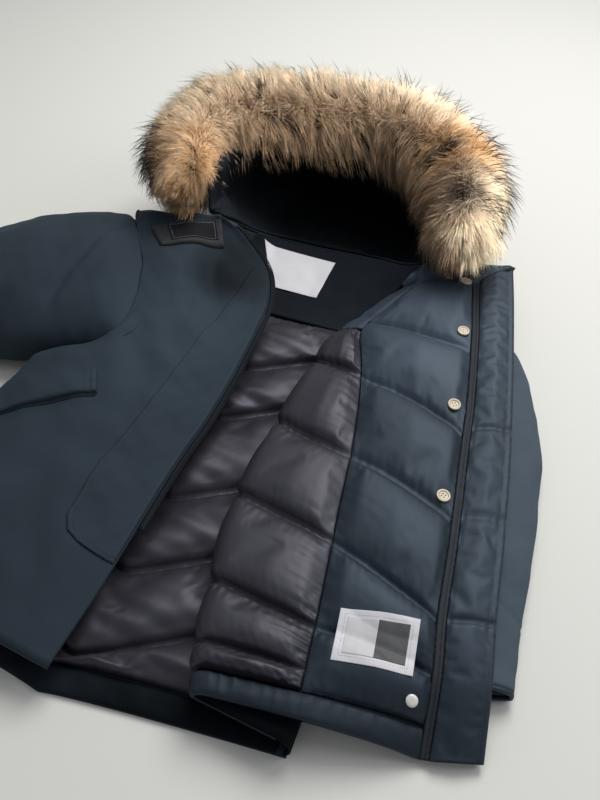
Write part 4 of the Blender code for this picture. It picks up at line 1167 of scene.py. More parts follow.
# %% Rings of a sleeve
ARMHOLE = table(
    "w x y z",
    (0.0, -262, 304, 34), (0.12, -250, 280, 94), (0.3, -214, 226, 109), (0.5, -178, 172, 102),
    (0.7, -155, 112, 96), (0.88, -149, 54, 88), (1.0, -172, 22, 42),
)
OVAL = "x y half way top foot"
RIGHT_SLEEVE = table(
    OVAL,
    (-241, 175, 150, -72.5, 120, 2.3), (-317, 148.5, 147, -68, 118, 2.3), (-411, 107, 133, -60, 102, 0),
    (-482, 34, 106, -36, 76, 0), (-512, -60, 80, -16, 60, 0), (-530, -184, 66, -8, 54, 0),
)
LEFT_SLEEVE = table(
    OVAL,
    (237.4, 214, 88, 93, 42, 2.3), (286, 208, 92, 62, 48, 0), (320, 178, 78, 40, 50, 0),
    (342, 78, 82, 10, 49, 0), (352, -52, 85, 8, 46, 0), (366, -150, 76, 10, 42, 0), (388, -232, 61, 14, 36, 0),
)
ROUND = 96
TURN = np.linspace(0, 2 * math.pi, ROUND, endpoint=False)


def ovals(columns):
    """The rings of a sleeve lying on the floor, each flat below and full above."""
    rise = np.sin(TURN)
    rings = []
    for x, y, half, way, top, foot in zip(*(columns[name] for name in OVAL.split())):
        across = np.array([math.cos(math.radians(way)), math.sin(math.radians(way))])
        across *= -1 if way < 0 else 1
        belly = mix(foot, top, 0.36)
        above, below = (top - belly) * np.abs(rise) ** 0.85, -(belly - foot) * np.abs(rise) ** 0.45
        z = belly + np.where(rise > 0, above, below)
        flat = np.array([x, y]) + (half * np.cos(TURN))[:, None] * across
        rings.append(np.column_stack([flat, z]))
    return rings


def armhole_ring():
    w = (1 - np.cos(TURN)) / 2
    bottom = mix(np.array([-262, 304, 4.0]), np.array([-176, 22, 4.0]), w[:, None])
    start = np.where((TURN <= math.pi + 1e-6)[:, None], point(ARMHOLE, "", w), bottom)
    start[0, 2] = 20
    start[ROUND // 2] = (-176, 22, 32)
    return start - np.array([1.6, 0.2, 0.4])


def along_sleeve(rings, rows):
    """A tube through the rings, with more rows."""
    rings = np.array(rings)
    keys = np.arange(float(len(rings)))
    at = np.linspace(0, keys[-1], rows)
    flat = rings.reshape(len(rings), -1)
    return np.stack([smooth(keys, flat[:, k], at) for k in range(flat.shape[1])], -1).reshape(rows, -1, 3)


def tube_normals(tube):
    across = np.roll(tube, -1, axis=1) - np.roll(tube, 1, axis=1)
    found = unit(np.cross(across, np.gradient(tube, axis=0)))
    middle = tube.mean(axis=1, keepdims=True)
    return found * np.sign((found * (tube - middle)).sum(-1).mean())


SLEEVE_WALL = 6.8


def sleeve(name, tube, lift, nodes, cloth):
    """A padded, lined tube, with folds pushed out along its normals. It returns the tube's outer skin."""
    out = tube_normals(tube)
    high = np.clip((tube[..., 2] - 6) / 18, 0, 1)
    outer = tube + out * (lift * high)[..., None]
    outer[..., 2] = np.maximum(outer[..., 2], 0)
    piece = slab(name, outer, tube - out * SLEEVE_WALL, cloth, nodes, True, BLACK)
    print(name, "cut", *flat_size(outer, tube=True))
    return outer


def fade_ends(rows, start, least, end, least_end):
    """From least up to 1 over the first rows of a tube, and down again to least_end over its last ones."""
    at = np.arange(rows)
    return (np.clip(at / start, least, 1) * np.clip((rows - 1 - at) / end, least_end, 1))[:, None]


# %% Right sleeve
tube = along_sleeve([armhole_ring()] + ovals(RIGHT_SLEEVE), 150)
x, y = tube[..., 0], tube[..., 1]
SLEEVE_FOLDS = (
    (-226, 322, -254, 190, 5, -5.5),
    (-248, 222, -272, 40, 6, -7.0),
    (-236, 232, -258, 60, 13, 3.0),
    (-275, 215, -380, 260, 20, 3.0),
    (-215, 200, -330, 120, 22, 3.0),
    (-200, 120, -300, 60, 18, -3.6),
    (-300, 60, -400, 60, 16, 3.2),
    (-320, 20, -420, -10, 14, -4.0),
    (-360, 40, -470, 90, 16, 3.5),
    (-400, -20, -540, 0, 15, -4.0),
    (-420, -70, -570, -60, 14, 3.0),
    (-450, -120, -590, -110, 12, -2.6),
    (-430, 240, -480, 100, 18, -3.0),
)
lift = creases(x, y, SLEEVE_FOLDS, 5) + 1.6 * waves(tube, 90, 41) + 0.6 * waves(tube, 36, 42)
lift *= fade_ends(len(tube), 12, 0.1, 8, 0.3)
right_tube = sleeve("right_sleeve_cloth", tube, lift, ["right_sleeve", "right_sleeve_lower"], OUTER)

# %% Left sleeve
tube = along_sleeve(ovals(LEFT_SLEEVE), 130)
x, y = tube[..., 0], tube[..., 1]
LEFT_FOLDS = (
    (300, 260, 400, 170, 16, -2.6),
    (330, 200, 430, 60, 20, 2.4),
    (300, 60, 420, 0, 18, -2.8),
    (310, -40, 440, -80, 16, 2.6),
    (330, -110, 440, -110, 12, -2.2),
    (320, 20, 430, 60, 14, 2.0),
)
lift = creases(x, y, LEFT_FOLDS, 6) + 1.3 * waves(tube, 80, 43) + 0.4 * waves(tube, 32, 44)
from_step = y - (-136 - 0.012 * (x - 411) ** 2)
outer_side = x > 340
lift -= 2.2 * np.exp(-((from_step / 1.8) ** 2)) * outer_side
lift -= 1.0 * np.clip(-from_step / 4, 0, 1) * outer_side
lift *= fade_ends(len(tube), 10, 0.2, 5, 0.4)
# The left sleeve wears the lighter copy of the outer cloth: painted light.
left_tube = sleeve("left_sleeve_cloth", tube, lift, ["left_sleeve"], SLEEVE_PAINTED_LIGHT)


# %% Cuffs
def cuff(name, tube, node):
    """The turned edge of the sleeve's mouth, rounded over to the inside."""
    out = tube_normals(tube)[-1]
    way = tube[-1].mean(axis=0) - tube[-4].mean(axis=0)
    way[2] = 0
    way /= np.linalg.norm(way)
    profile = ((0.4, 0.0), (1.6, -0.2), (3.0, -0.2), (4.3, -0.7), (5.0, -1.9))
    outer = np.array([tube[-1] + way * ahead + out * aside for ahead, aside in profile])
    outer[..., 2] = np.maximum(outer[..., 2], 0)
    depth = np.array([4.8, 4.8, 4.8, 4.4, 3.0])[:, None, None]
    inner = outer - out * depth
    inner[..., 2] = np.maximum(inner[..., 2], 2.4)
    piece = slab(name, outer, inner, SATIN, [node], True, BLACK)


cuff("right_cuff_cloth", right_tube, "right_cuff")
cuff("left_cuff_cloth", left_tube, "left_cuff")


# %% [markdown]
# ## The left front
# The left front is turned back, so its inside shows. Black quilted lining rolls out of the fold, a
# stitched seam joins it to a navy quilted facing, and beyond the zip a narrow padded placket ends in a
# bound edge. The cloth gathers in short puckers wherever it is sewn to a firmer strip.

# %% Puckers along a seam
def puckers(along, away, pitch, reach, depth, seed):
    """Short folds that run out from a stitched edge. along and away are distances in millimetres."""
    line = np.stack([along, 0 * along], -1)
    bend = np.stack([along, away * 0.6], -1)
    phase = 2 * math.pi * along / pitch + 1.2 * waves(line, pitch * 4, seed)
    phase = phase + 0.35 * waves(bend, pitch * 3, seed + 1)
    strong = np.clip(0.55 + 0.6 * waves(line, pitch * 4, seed + 2), 0.05, 1.4)
    long = reach * np.clip(1 + 0.6 * waves(line, pitch * 3, seed + 3), 0.35, 1.9)
    ridge = 1 - 1.6 * np.abs(np.sin(phase / 2)) ** 0.8
    return depth * strong * ridge * np.exp(-((away / long) ** 1.2)) * np.clip(away / 1.2 + 0.25, 0, 1)


def nudge(skins, column, by):
    """Moves one column of both skins of a piece sideways, clear of its neighbour."""
    for skin in skins:
        skin[:, column, 0] += by


def quilted(quilt, first, last, places, across, steps):
    """Ground under a quilted panel of the left front, and each row's place in its band from 0 to 1."""
    starts, ends, inside = [], [], []
    for low in range(len(quilt["k"]) - 1):
        for k in range(steps):
            starts.append(mix(quilt[first][low], quilt[first][low + 1], k / steps))
            ends.append(mix(quilt[last][low], quilt[last][low + 1], k / steps))
            inside.append(k / steps)
    starts.append(quilt[first][-1])
    ends.append(quilt[last][-1])
    inside.append(0.0)
    q = mix(np.array(starts)[:, None], np.array(ends)[:, None], across[None, :])
    return left_surface(q, places[None, :]), np.array(inside)


# %% Outer cloth of the left front
q = np.linspace(0, TOP, 100)[:, None]
c = np.linspace(0, LAST, 110)[None, :]
shell = left_surface(q, c)
out = outward(shell, 0.5, 0.8)
TURNED = cloth_finish(
    "outer_turned", (0.0180, 0.0265, 0.0350), (0.0110, 0.0165, 0.0225), 0.85, 0.12, 0.7, 0.12, 0.25, 34, BLUISH
)
# Painted shade: the turned cloth is darkened in the mouth of the hem, under the fold.
paint_light_pool(TURNED, (0.20, -0.37, 0.03), 0.07, 0.10, 0.08)
upper, lower = shell - out * 0.15, shell - out * 1.95
left_front = slab("left_front_cloth", upper, lower, TURNED, ["left_front"])

# %% Black lining of the left front
places = np.concatenate([np.linspace(4, 7, 8)[:-1], np.linspace(7, SEAM, 46)])
across = np.interp(places, np.arange(4, 13), [0, 0, 0, 0, 0.02, 0.14, 0.42, 0.72, 1.0])
ground, inside_band = quilted(LINING_QUILT, "v", "s", places, across, 14)
out = outward(ground, 0.5, 0.85)
swell = pillow(inside_band)[:, None]
height = np.interp(places, [4, 6, 7.5, 9, 10.5, 11.5, 12], [4.5, 4.5, 6, 14, 18, 15, 5.5])[None, :]
height = np.where(places < 7.5, height, mix(2.2, height, swell))
base = ground + out * (0.9 + height)[..., None]
sewn = np.zeros(base.shape[:2])
sewn[inside_band == 0] = 1
sewn[:, -1] = 1
sewn[:, places < 6.5] = 1
puffed = finer(inflate("left_lining", base, sewn, pressure=1.2, slack=0.009, cap=4, bend=0.9))
below = finer(ground + out * 0.9)
out = outward(puffed, 0.5, 0.85)
along = run_of(puffed[:, -1])[:, None]
away = np.linalg.norm(puffed - puffed[:, -1:], axis=-1)
puffed = puffed + out * puckers(along + 0 * away, away, 10, 24, 2.7, 51)[..., None]
puffed = puffed - out * quilt_grooves(puffed, inside_band, 2.0, 3.4)[..., None]
nudge((puffed, below), -1, -0.8)
left_lining = slab("left_lining_cloth", puffed, below, BLACK, ["left_front_lining"])

# %% Navy facing of the left front
places = np.linspace(SEAM, ZIP, 34)
across = np.interp(places, [12, 13, 14, 15], [0, 0.33, 0.67, 1])
ground, inside_band = quilted(FACING_QUILT, "s", "z", places, across, 14)
out = outward(ground)
swell = pillow(inside_band, 1.5, 0.45)[:, None]
height = np.interp(places, [12, 12.5, 13.5, 14.6, 15], [5.0, 15, 18.5, 15, 5.2])[None, :]
base = ground + out * (0.9 + mix(2.6, height, swell))[..., None]
sewn = np.zeros(base.shape[:2])
sewn[inside_band == 0] = 1
sewn[:, [0, -1]] = 1
puffed = finer(inflate("left_facing", base, sewn, pressure=0.8, slack=0.006, cap=3, bend=0.8))
below = finer(ground + out * 0.9)
out = outward(puffed)
from_zip = np.linalg.norm(puffed - puffed[:, -1:], axis=-1)
from_seam = np.linalg.norm(puffed - puffed[:, :1], axis=-1)
along = run_of(puffed[:, -1])[:, None] + 0 * from_zip
gather = puckers(along, from_zip, 8, 10, 0.9, 61) + puckers(along, from_seam, 16, 26, 0.9, 66)
puffed = puffed + out * (gather - quilt_grooves(puffed, inside_band, 2.4, 3.6))[..., None]
nudge((puffed, below), 0, 0.8)
nudge((puffed, below), -1, -1.4)
left_facing = slab("left_facing_cloth", puffed, below, SATIN, ["left_front_facing"])
lining_seam = mix(puffed[:, 0], puffed[:, 1], 0.6)

# %% Upper facing
q = np.linspace(7.03, 9, 50)[:, None]
c = np.linspace(6, SEAM, 60)[None, :]
yoke = left_surface(q, c)
out = outward(yoke, 0.5, 0.85)
x, y = yoke[..., 0], yoke[..., 1]
YOKE_FOLDS = ((118, 262, 168, 240, 6, -2.6), (120, 300, 190, 300, 9, 2.4), (130, 250, 150, 320, 7, -2.0))
lift = creases(x, y, YOKE_FOLDS, 7)
lift += 0.6 * waves(yoke, 40, 45)
yoke_top = yoke + out * (5.4 + lift)[..., None]
low = yoke + out * 0.9
nudge((yoke_top, low), -1, -0.5)
yoke_facing = slab("left_yoke_cloth", yoke_top, low, SATIN, ["left_yoke_facing"])

# %% Placket
PLACKET_SEAMS = (1.9, 3.28, 4.58)
PLACKET_START, EDGE_STITCH = ZIP + 1, 17.72
COLUMN_WIDTH = 24
q = np.linspace(0, TOP, 200)
c = np.linspace(PLACKET_START, LAST, 24)
ground = left_surface(q[:, None], c[None, :])
out = outward(ground)
stops = [PLACKET_START, 16.25, 17, 17.6, EDGE_STITCH, 17.85, LAST]
height = np.interp(c, stops, [4.6, 7.0, 8.6, 6.4, 4.8, 6.2, 4.2])[None, :] + 0 * q[:, None]
for level in PLACKET_SEAMS:
    groove = 3.6 * np.exp(-((np.abs(q[:, None] - level) / 0.045) ** 1.3))
    height -= groove * np.clip((c - PLACKET_START) * 6, 0, 1)
base = ground + out * (0.15 + height)[..., None]
edge_column = np.argmin(np.abs(c - EDGE_STITCH))
sewn = np.zeros(base.shape[:2])
sewn[:, [0, -1]] = 1
sewn[:, edge_column] = 0.9
for level in PLACKET_SEAMS:
    sewn[np.argmin(np.abs(q - level)), c < 17.8] = 0.9
sewn[[0, -1]] = 1
puffed = inflate("placket", base, sewn, pressure=1.2, slack=0.010, cap=4, bend=1.0)
along, column = np.broadcast_arrays(run_of(puffed[:, -1])[:, None], c[None, :])
from_stitch = np.abs(column - EDGE_STITCH) * COLUMN_WIDTH
from_zip = (column - PLACKET_START) * COLUMN_WIDTH
out = outward(puffed)
lift = puckers(along, from_stitch, 6.5, 5, 0.6, 71) * (c < 17.9)
lift += puckers(along, from_zip, 7.5, 9, 0.7, 75)
for level in PLACKET_SEAMS:
    beside = np.abs(along - np.interp(level, q, along[:, 0]))
    lift += puckers(from_zip, beside, 9, 12, 0.9, 79)
puffed = puffed + out * lift[..., None]
low = ground + out * 0.15
nudge((puffed, low), 0, 0.6)
placket = slab("left_placket_cloth", puffed, low, SATIN, ["left_placket"])
placket_seam = puffed[2:-2, edge_column]

# %% Zip tape of the left front
ZIP_WIDTH = 2 * ZIP_HALF
q = np.linspace(0, TOP, 260)
c = np.linspace(ZIP, PLACKET_START, 7)
ground = left_surface(q[:, None], c[None, :])
out = outward(ground)
along = run_of(ground[:, 3])[:, None] + 0 * ground[..., 0]
middle = np.abs(c - ZIP - 0.5)[None, :] * ZIP_WIDTH
lift = 3.6 - 1.5 * np.exp(-((middle / 1.3) ** 2))
slanted = (along + 1.5 * (c - ZIP)[None, :] * ZIP_WIDTH) / 5.2
zigzag = np.abs((slanted + 0.25 * waves(along[..., None], 30, 46)) % 1 - 0.5) * 2
lift = lift + 1.5 * (zigzag - 0.5) * np.clip(middle / 2, 0.15, 1)
zip_top = ground + out * (0.15 + lift)[..., None]
TAPE = cloth_finish(
    "tape_navy", (0.0150, 0.0200, 0.0275), (0.0105, 0.014, 0.0195), 0.7, 0.3, 0.5, 0.2, 0.2, 60
)
left_tape = slab("left_zip_tape_cloth", zip_top, ground + out * 0.15, TAPE, ["left_zip_tape"])

# %% [markdown]
# From the top of the left front the navy facing runs on up under the fur, as far as the hood's seam. It is
# a grid between the front's top line and a line of places under the fur, arched a little in between.

# %% Neck edge of the left front
UNDER_FUR = table(
    "c x y z",
    (7.6, 166, 336, 45), (9, 176, 350, 55), (10.5, 192, 367, 66), (12, 214, 379, 72), (14, 252, 386, 75),
    (16, 287, 387, 75), (18, 322, 401, 71),
)
c = np.linspace(UNDER_FUR["c"][0], LAST, 120)
start = left_surface(np.array([[float(TOP)]]), c[None, :])[0]
under_fur = np.stack([np.interp(c, UNDER_FUR["c"], UNDER_FUR[axis]) for axis in "xyz"], -1)
t = np.linspace(-0.2, 1, 26)[:, None, None]
edge = start + (under_fur - start) * t
bulge = np.interp(c, [7.6, 12, 14, 15.3, 16, 17.4, 18], [4.6, 6.2, 6.6, 3.6, 4.4, 7.0, 3.6])[None, :, None]
out = outward(edge, 0.5, 0.6)
fold = 1.1 * waves(edge[..., :2] * [1.0, 0.5], 21, 47)[..., None]
arch = 2.0 * np.sin(math.pi * np.clip(t, 0, 1))
edge_top = edge + out * (0.4 + bulge + fold * np.clip(t * 3, 0, 1) + arch)
low = edge + out * 0.15
for skin in (edge_top, low):
    skin[..., 2] = np.maximum(skin[..., 2], 2.0)
neck_edge = slab("left_neck_edge_cloth", edge_top, low, SATIN)

# %% Turned-up hem of the left front
HEM_Q = 0.35
q = np.linspace(0, HEM_Q, 22)
c = np.linspace(4, ZIP, 170)
ground = left_surface(q[:, None], c[None, :])
out = outward(ground, 0.5, 0.85)
w = (q / HEM_Q)[:, None]
lift = 2.0 + 5.0 * np.sqrt(np.maximum(1 - (2 * w - 1) ** 2, 0)) + 0 * c
up = np.linalg.norm(ground - ground[-1:], axis=-1)
run = run_of(ground[10])[None, :] + 0 * up
soft = waves(np.stack([run, up], -1), 38, 47) * np.sin(math.pi * w)
lift += puckers(run, up, 15, 16, 1.7, 81) + 0.7 * soft
lift -= 1.4 * np.exp(-(((c - SEAM) / 0.05) ** 2)) * np.sin(math.pi * w) ** 0.3
hem_top = ground + out * (0.9 + lift)[..., None]
low = ground + out * 0.9
nudge((hem_top, low), -1, -1.8)
left_hem = slab("left_hem_cloth", hem_top, low, HEM_PAINTED_SHADE, ["left_hem_facing"])


# %% Seams of the left front
thread_up("lining_seam", lining_seam, THREAD, "satin_navy", 3.2, 2.2, 0.28, 0.25)
thread_up("placket_edge_seam", placket_seam, THREAD, "satin_navy", 3.0, 2.1, 0.26, 0.35)
print("left front done")


# %% [markdown]
# ## Labels
# The neck label and the large one low on the facing are woven satin, with a fine border line. They are
# left bare: only the border and the two tones of the field are kept.

# %% Bare labels
def label(name, piece, corners, rows, columns, node, seed):
    """A stiff label sewn on a soft piece: it bridges most of the hollows below it."""
    places = spread(corners, rows, columns)
    ground = drape(top_of(piece), places)
    fit = np.column_stack([places.reshape(-1, 2), np.ones(rows * columns)])
    flat = (fit @ np.linalg.lstsq(fit, ground[..., 2].ravel(), rcond=None)[0]).reshape(rows, columns) + 0.8
    ground[..., 2] = np.maximum(ground[..., 2], mix(ground[..., 2], flat, 0.85))
    top = raised(ground, 0.9 + 0.35 * waves(places, 40, seed) * np.clip(edge_distance(places) / 8, 0, 1))
    made = slab(name, top, top - [0, 0, 0.6], WHITE, [node])
    return made


NECK_LABEL = ((-31, 291), (45, 291), (49, 369), (-74, 371))
neck_label = label("neck_label_cloth", neck_facing, NECK_LABEL, 40, 44, "neck_label", 48)
border = border_of(spread(NECK_LABEL, 5, 5), 2.6)
thread_on("neck_label_border", top_of(neck_label), border, GREY, "woven_white", 2.0, 2.1, 0.2, 0.02)
PATCH = ((266, -272), (346, -257), (338, -200), (258, -217))
patch = label("patch_label_cloth", left_facing, PATCH, 40, 50, "patch_label", 49)


def inner_corners(corners, left, right, low, high):
    """The four corners of a field inside a four-sided piece, as shares of its width and height."""
    a, b, c, d = (np.array(corner, float) for corner in corners)
    shares = ((left, low), (right, low), (right, high), (left, high))
    return [mix(mix(a, b, s), mix(d, c, s), r) for s, r in shares]


for name, left, right, material in (
    ("patch_light_field", 0.115, 0.5, GREY),
    ("patch_dark_field", 0.5, 0.89, DARK_GREY),
):
    places = spread(inner_corners(PATCH, left, right, 0.15, 0.86), 30, 30)
    top = drape(top_of(patch), places) + [0, 0, 0.4]
    slab(name, top, top - [0, 0, 0.5], material)
frame_line = border_of(spread(inner_corners(PATCH, 0.075, 0.925, 0.10, 0.91), 5, 5), 0.01)
thread_on("patch_frame", top_of(patch), frame_line, TEETH, "woven_white", 2.0, 2.1, 0.22, 0.02)


# %% [markdown]
# ## Buttons and snap
# The buttons are turned from a pale horn-like resin, with a raised rim, a shallow dish and four holes.
# One is modelled from a cylinder with insets, bevels and drilled holes, and all four are copies of it.
# The snap's cap is a low dome, made in the same way with insets that rise.

# %% Buttons
BUTTONS = ((1, 322, -40), (2, 301, 99), (3, 281, 238), (4, 261, 337))


def only(piece):
    bpy.ops.object.select_all(action="DESELECT")
    piece.select_set(True)
    bpy.context.view_layer.objects.active = piece


def select_faces(piece, chosen):
    bpy.ops.mesh.select_all(action="DESELECT")
    bpy.ops.object.mode_set(mode="OBJECT")
    for face in piece.data.polygons:
        face.select = bool(chosen(face))
    bpy.ops.object.mode_set(mode="EDIT")


def turned_disc(name, radius, height, insets, soft):
    """A disc from a cylinder: its top inset step by step, in millimetres, and its corners softened."""
    bpy.ops.object.select_all(action="DESELECT")
    bpy.ops.mesh.primitive_cylinder_add(
        vertices=48, radius=radius * MM, depth=height * MM, location=(0, 0, height / 2 * MM)
    )
    disc = bpy.context.object
    disc.name = name
    bpy.ops.object.transform_apply(location=True)
    bpy.ops.object.mode_set(mode="EDIT")
    bpy.ops.mesh.select_mode(type="FACE")
    select_faces(disc, lambda face: face.normal.z > 0.9)
    for thickness, depth in insets:
        bpy.ops.mesh.inset(thickness=thickness * MM, depth=depth * MM)
    bpy.ops.object.mode_set(mode="OBJECT")
    softened = disc.modifiers.new("softened", "BEVEL")
    softened.width = soft * MM
    softened.segments = 3
    softened.limit_method = "ANGLE"
    only(disc)
    bpy.ops.object.modifier_apply(modifier="softened")
    return disc


HOLE_AT = 1.75
button = turned_disc("button_blank", 8.2, 2.8, ((2.0, 0), (0.7, -0.9), (1.2, -0.15)), 0.5)
for dx, dy in ((-1, -1), (1, -1), (1, 1), (-1, 1)):
    bpy.ops.object.select_all(action="DESELECT")
    bpy.ops.mesh.primitive_cylinder_add(
        vertices=14, radius=0.95 * MM, depth=9 * MM, location=(dx * HOLE_AT * MM, dy * HOLE_AT * MM, 0)
    )
    drill = bpy.context.object
    cut = button.modifiers.new("hole", "BOOLEAN")
    cut.object = drill
    cut.solver = "EXACT"
    only(button)
    bpy.ops.object.modifier_apply(modifier="hole")
    bpy.data.objects.remove(drill, do_unlink=True)
bpy.ops.object.shade_smooth_by_angle(angle=math.radians(40))
button.data.materials.append(IVORY)
print("button faces:", len(button.data.polygons))

# %% Each button in its place
FACING_TOP = top_of(left_facing)


def rest_on(tree, x, y, radius):
    """Where a small disc rests, and the way it leans."""
    turns = np.linspace(0, 2 * math.pi, 12, endpoint=False)
    ring = [(x + radius * math.cos(a), y + radius * math.sin(a)) for a in turns]
    spots = drape(tree, np.array([ring]))[0]
    middle = spots.mean(axis=0)
    _, _, axes = np.linalg.svd(spots - middle)
    up = axes[2] * np.sign(axes[2][2])
    up = up * 0.6 + np.array([0, 0, 0.4])
    up /= np.linalg.norm(up)
    top = ((spots - middle) @ up).max()
    return middle + up * top, up


def set_down(piece, spot, up, node):
    """Turns and moves a disc's mesh to its place, and dresses it."""
    piece.data.transform(Vector(up).to_track_quat("Z", "Y").to_matrix().to_4x4())
    piece.data.transform(Matrix.Translation(Vector(spot) * MM))
    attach(piece, "root")
    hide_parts(node)
    print(piece.name, "at", [round(float(k), 1) for k in spot])


for number, x, y in BUTTONS:
    spot, up = rest_on(FACING_TOP, x, y, 7.0)
    made = button.copy()
    made.data = button.data.copy()
    made.name = f"button_{number}_resin"
    bpy.context.scene.collection.objects.link(made)
    set_down(made, spot - up * 0.5, up, f"button_{number}")
bpy.data.objects.remove(button, do_unlink=True)

# %% Snap
snap = turned_disc("snap_cap", 6.2, 1.4, ((0.9, 0.9), (1.5, 0.5), (1.6, 0.15)), 0.3)
bpy.ops.object.shade_smooth_by_angle(angle=math.radians(40))
snap.data.materials.append(plain_finish("snap_enamel", (0.62, 0.61, 0.59), 0.3, 0.0001, 300, 0.3))
set_down(snap, *rest_on(FACING_TOP, 351, -275, 5.6), "snap")


# %% [markdown]
# ## The fur
# The trim is a strip of pelt rolled round the rim of the hood. Its long hair parts along a line on the
# roll and is combed to both sides of it: outwards over the edge, and inwards over the hood. Hair grows in
# locks that draw together towards their tips, and a few stiff black hairs stand out past the rest.

# %% The pelt under the hair
PARTING = table(
    "u phi",
    (0, 22), (0.12, 34), (0.2, 40), (0.3, 38), (0.42, 34), (0.53, 34), (0.64, 32), (0.76, 48), (0.86, 64),
    (0.94, 68), (1, 76),
)
FUR_LENGTH = 1250.0


def parting(u):
    """Where the hair parts, in degrees round the roll."""
    return read(PARTING, "phi", np.clip(u, 0, 1))


def roll_radius(u):
    return read(FUR_ROLL, "r", np.clip(u, 0, 1))


def fur_point(u, phi, reach):
    """A point round the roll, reach millimetres out: phi is 0 towards the hood's inside and 90 straight up."""
    inside = np.clip(u, 0, 1)
    centre, _, inward = roll_frame(inside)
    along = np.stack([-inward[..., 1], inward[..., 0], 0 * inside], -1)
    turn = np.radians(phi)[..., None]
    ring = np.cos(turn) * inward + np.sin(turn) * np.array([0, 0, 1.0])
    return centre + reach[..., None] * ring + along * ((u - inside) * FUR_LENGTH)[..., None]


u = np.concatenate([[-0.004], np.linspace(0, 1, 110), [1.004]])[:, None]
phi = np.linspace(0, 360, 40, endpoint=False)[None, :]
u, phi = np.broadcast_arrays(u, phi)
radius = roll_radius(u)
ends = np.clip(np.minimum(u + 0.004, 1.004 - u) / 0.02, 0.06, 1) ** 0.5
turn = np.radians(phi)
bumps = waves(np.stack([u * FUR_LENGTH, np.cos(turn) * 60, np.sin(turn) * 60], -1), 26, 91)
below = np.exp(-(((np.mod(phi + 180, 360) - 180 + 62) / 42) ** 2))
depth = (0.60 + 0.2 * below) * radius + 2.0 * bumps
skin = fur_point(u, phi, depth * ends)
core = fur_point(u, phi, depth * ends * 0.9 - 0.2)


def fur_finish():
    """Hair: each takes the colour stored on it, a little patchy, and lets part of the light through."""
    material, tree, shader, place, _ = new_finish("fur_hair")
    patchy = add(tree, "TexNoise", "Fac", {"Vector": place, "Scale": 60})
    light = add(tree, "MapRange", "Result", {"Value": patchy, "To Min": 0.82, "To Max": 1.18})
    tint = add(tree, "Attribute", "Color", {}, attribute_name="tint")
    shade = add(tree, "VectorMath", "Vector", {0: tint, "Scale": light}, operation="SCALE")
    feed(tree, shader, {"Base Color": shade, "Roughness": 0.55, "Specular IOR Level": 0.25})
    glow = add(tree, "BsdfTranslucent", "BSDF", {"Color": shade})
    both = add(tree, "MixShader", "Shader", {"Fac": 0.4, 1: shader.outputs["BSDF"], 2: glow})
    feed(tree, tree.nodes["Material Output"], {"Surface": both})
    return material


FUR = fur_finish()
PELT = cloth_finish("fur_pelt", (0.100, 0.068, 0.048), (0.030, 0.021, 0.016), 0.9, 0.1, 1.0, 0.3, 0.6, 120)
pelt = slab("fur_pelt_skin", skin, core, PELT, ["fur_trim"], True)

# %% Colours of the hair
CREAM = np.array([1.0, 0.86, 0.67])
SAND = np.array([0.80, 0.575, 0.365])
GINGER = np.array([0.68, 0.38, 0.14])
BROWN = np.array([0.43, 0.295, 0.19])
DARK = np.array([0.045, 0.028, 0.022])


def blend(a, b, w):
    return mix(a, b, np.clip(w, 0, 1)[..., None])


def near(value, centre, width):
    """1 at centre, fading out over about this width on both sides."""
    return np.exp(-(((value - centre) / width) ** 2))


def hair_colours(u, phi, lock_shade, rng):
    """Root, middle and tip colour of each hair, from its place on the roll."""
    side = phi - parting(u)
    outer = np.clip(side / 62, 0, 1)
    middle = blend(BROWN * np.ones((len(u), 3)), SAND, 0.30 + 0.35 * lock_shade)
    middle = blend(middle, CREAM, outer * 1.35 + 0.2 * lock_shade * outer)
    left_end = np.clip((0.21 - u) / 0.1, 0, 1)
    upper_right = near(u, 0.85, 0.055) * near(side, 26, 38)
    ginger = np.maximum(left_end * (0.75 - 0.25 * lock_shade), upper_right * 1.25)
    middle = blend(middle, GINGER, ginger)
    pale_end = np.clip((u - 0.885) / 0.04, 0, 1) * np.clip((side - 8) / 22, 0, 1) * 0.9
    middle = blend(middle, CREAM, pale_end)
    pale = 0.35 + 0.3 * lock_shade + 0.25 * rng.random(len(u))
    tip = blend(middle, CREAM, pale * (1 - 0.6 * np.clip(upper_right, 0, 1)))
    spots = near(u, 0.845, 0.018) + near(u, 0.965, 0.028) + 0.6 * near(u, 0.905, 0.012)
    dark = np.clip(spots * near(side, 0, 20) * 1.3, 0, 1) + 0.12 * near(side, 0, 12) * (u > 0.12)
    dark = np.maximum(dark, 0.6 * near(side, -92, 26) * (side < 0))
    dark = np.maximum(dark, 0.7 * near(u, 0, 0.012) * near(phi, -20, 60))
    middle = blend(middle, DARK, dark * 0.9)
    tip = blend(tip, DARK, dark * 0.45)
    vary = rng.uniform(0.72, 1.2, (len(u), 1))
    root = blend(middle, DARK, np.full(len(u), 0.42))
    return root * vary, middle * vary, np.minimum(tip * vary, 1)


# %% [markdown]
# Each hair is a closed blade with one or two small rings between its root and its tip. It leaves the
# pelt, bends over in the way it is combed, and thins to a point. Thousands of them are one mesh, and the
# colour of every hair is stored on its points.

# %% Hair
STEPS = (0.0, 0.36, 0.74, 1.0)


def combed(u, phi, du, dphi, low, high, droop):
    """Four points along each hair: combed by du and dphi from reach low to reach high, and drooping."""
    line = [fur_point(u + du * t**1.2, phi + dphi * t**1.25, low + (high - low) * t**0.85) for t in STEPS]
    for t, places in zip(STEPS, line):
        places[:, 2] = np.minimum(places[:, 2] - droop * t**2, 257.0)
    return line


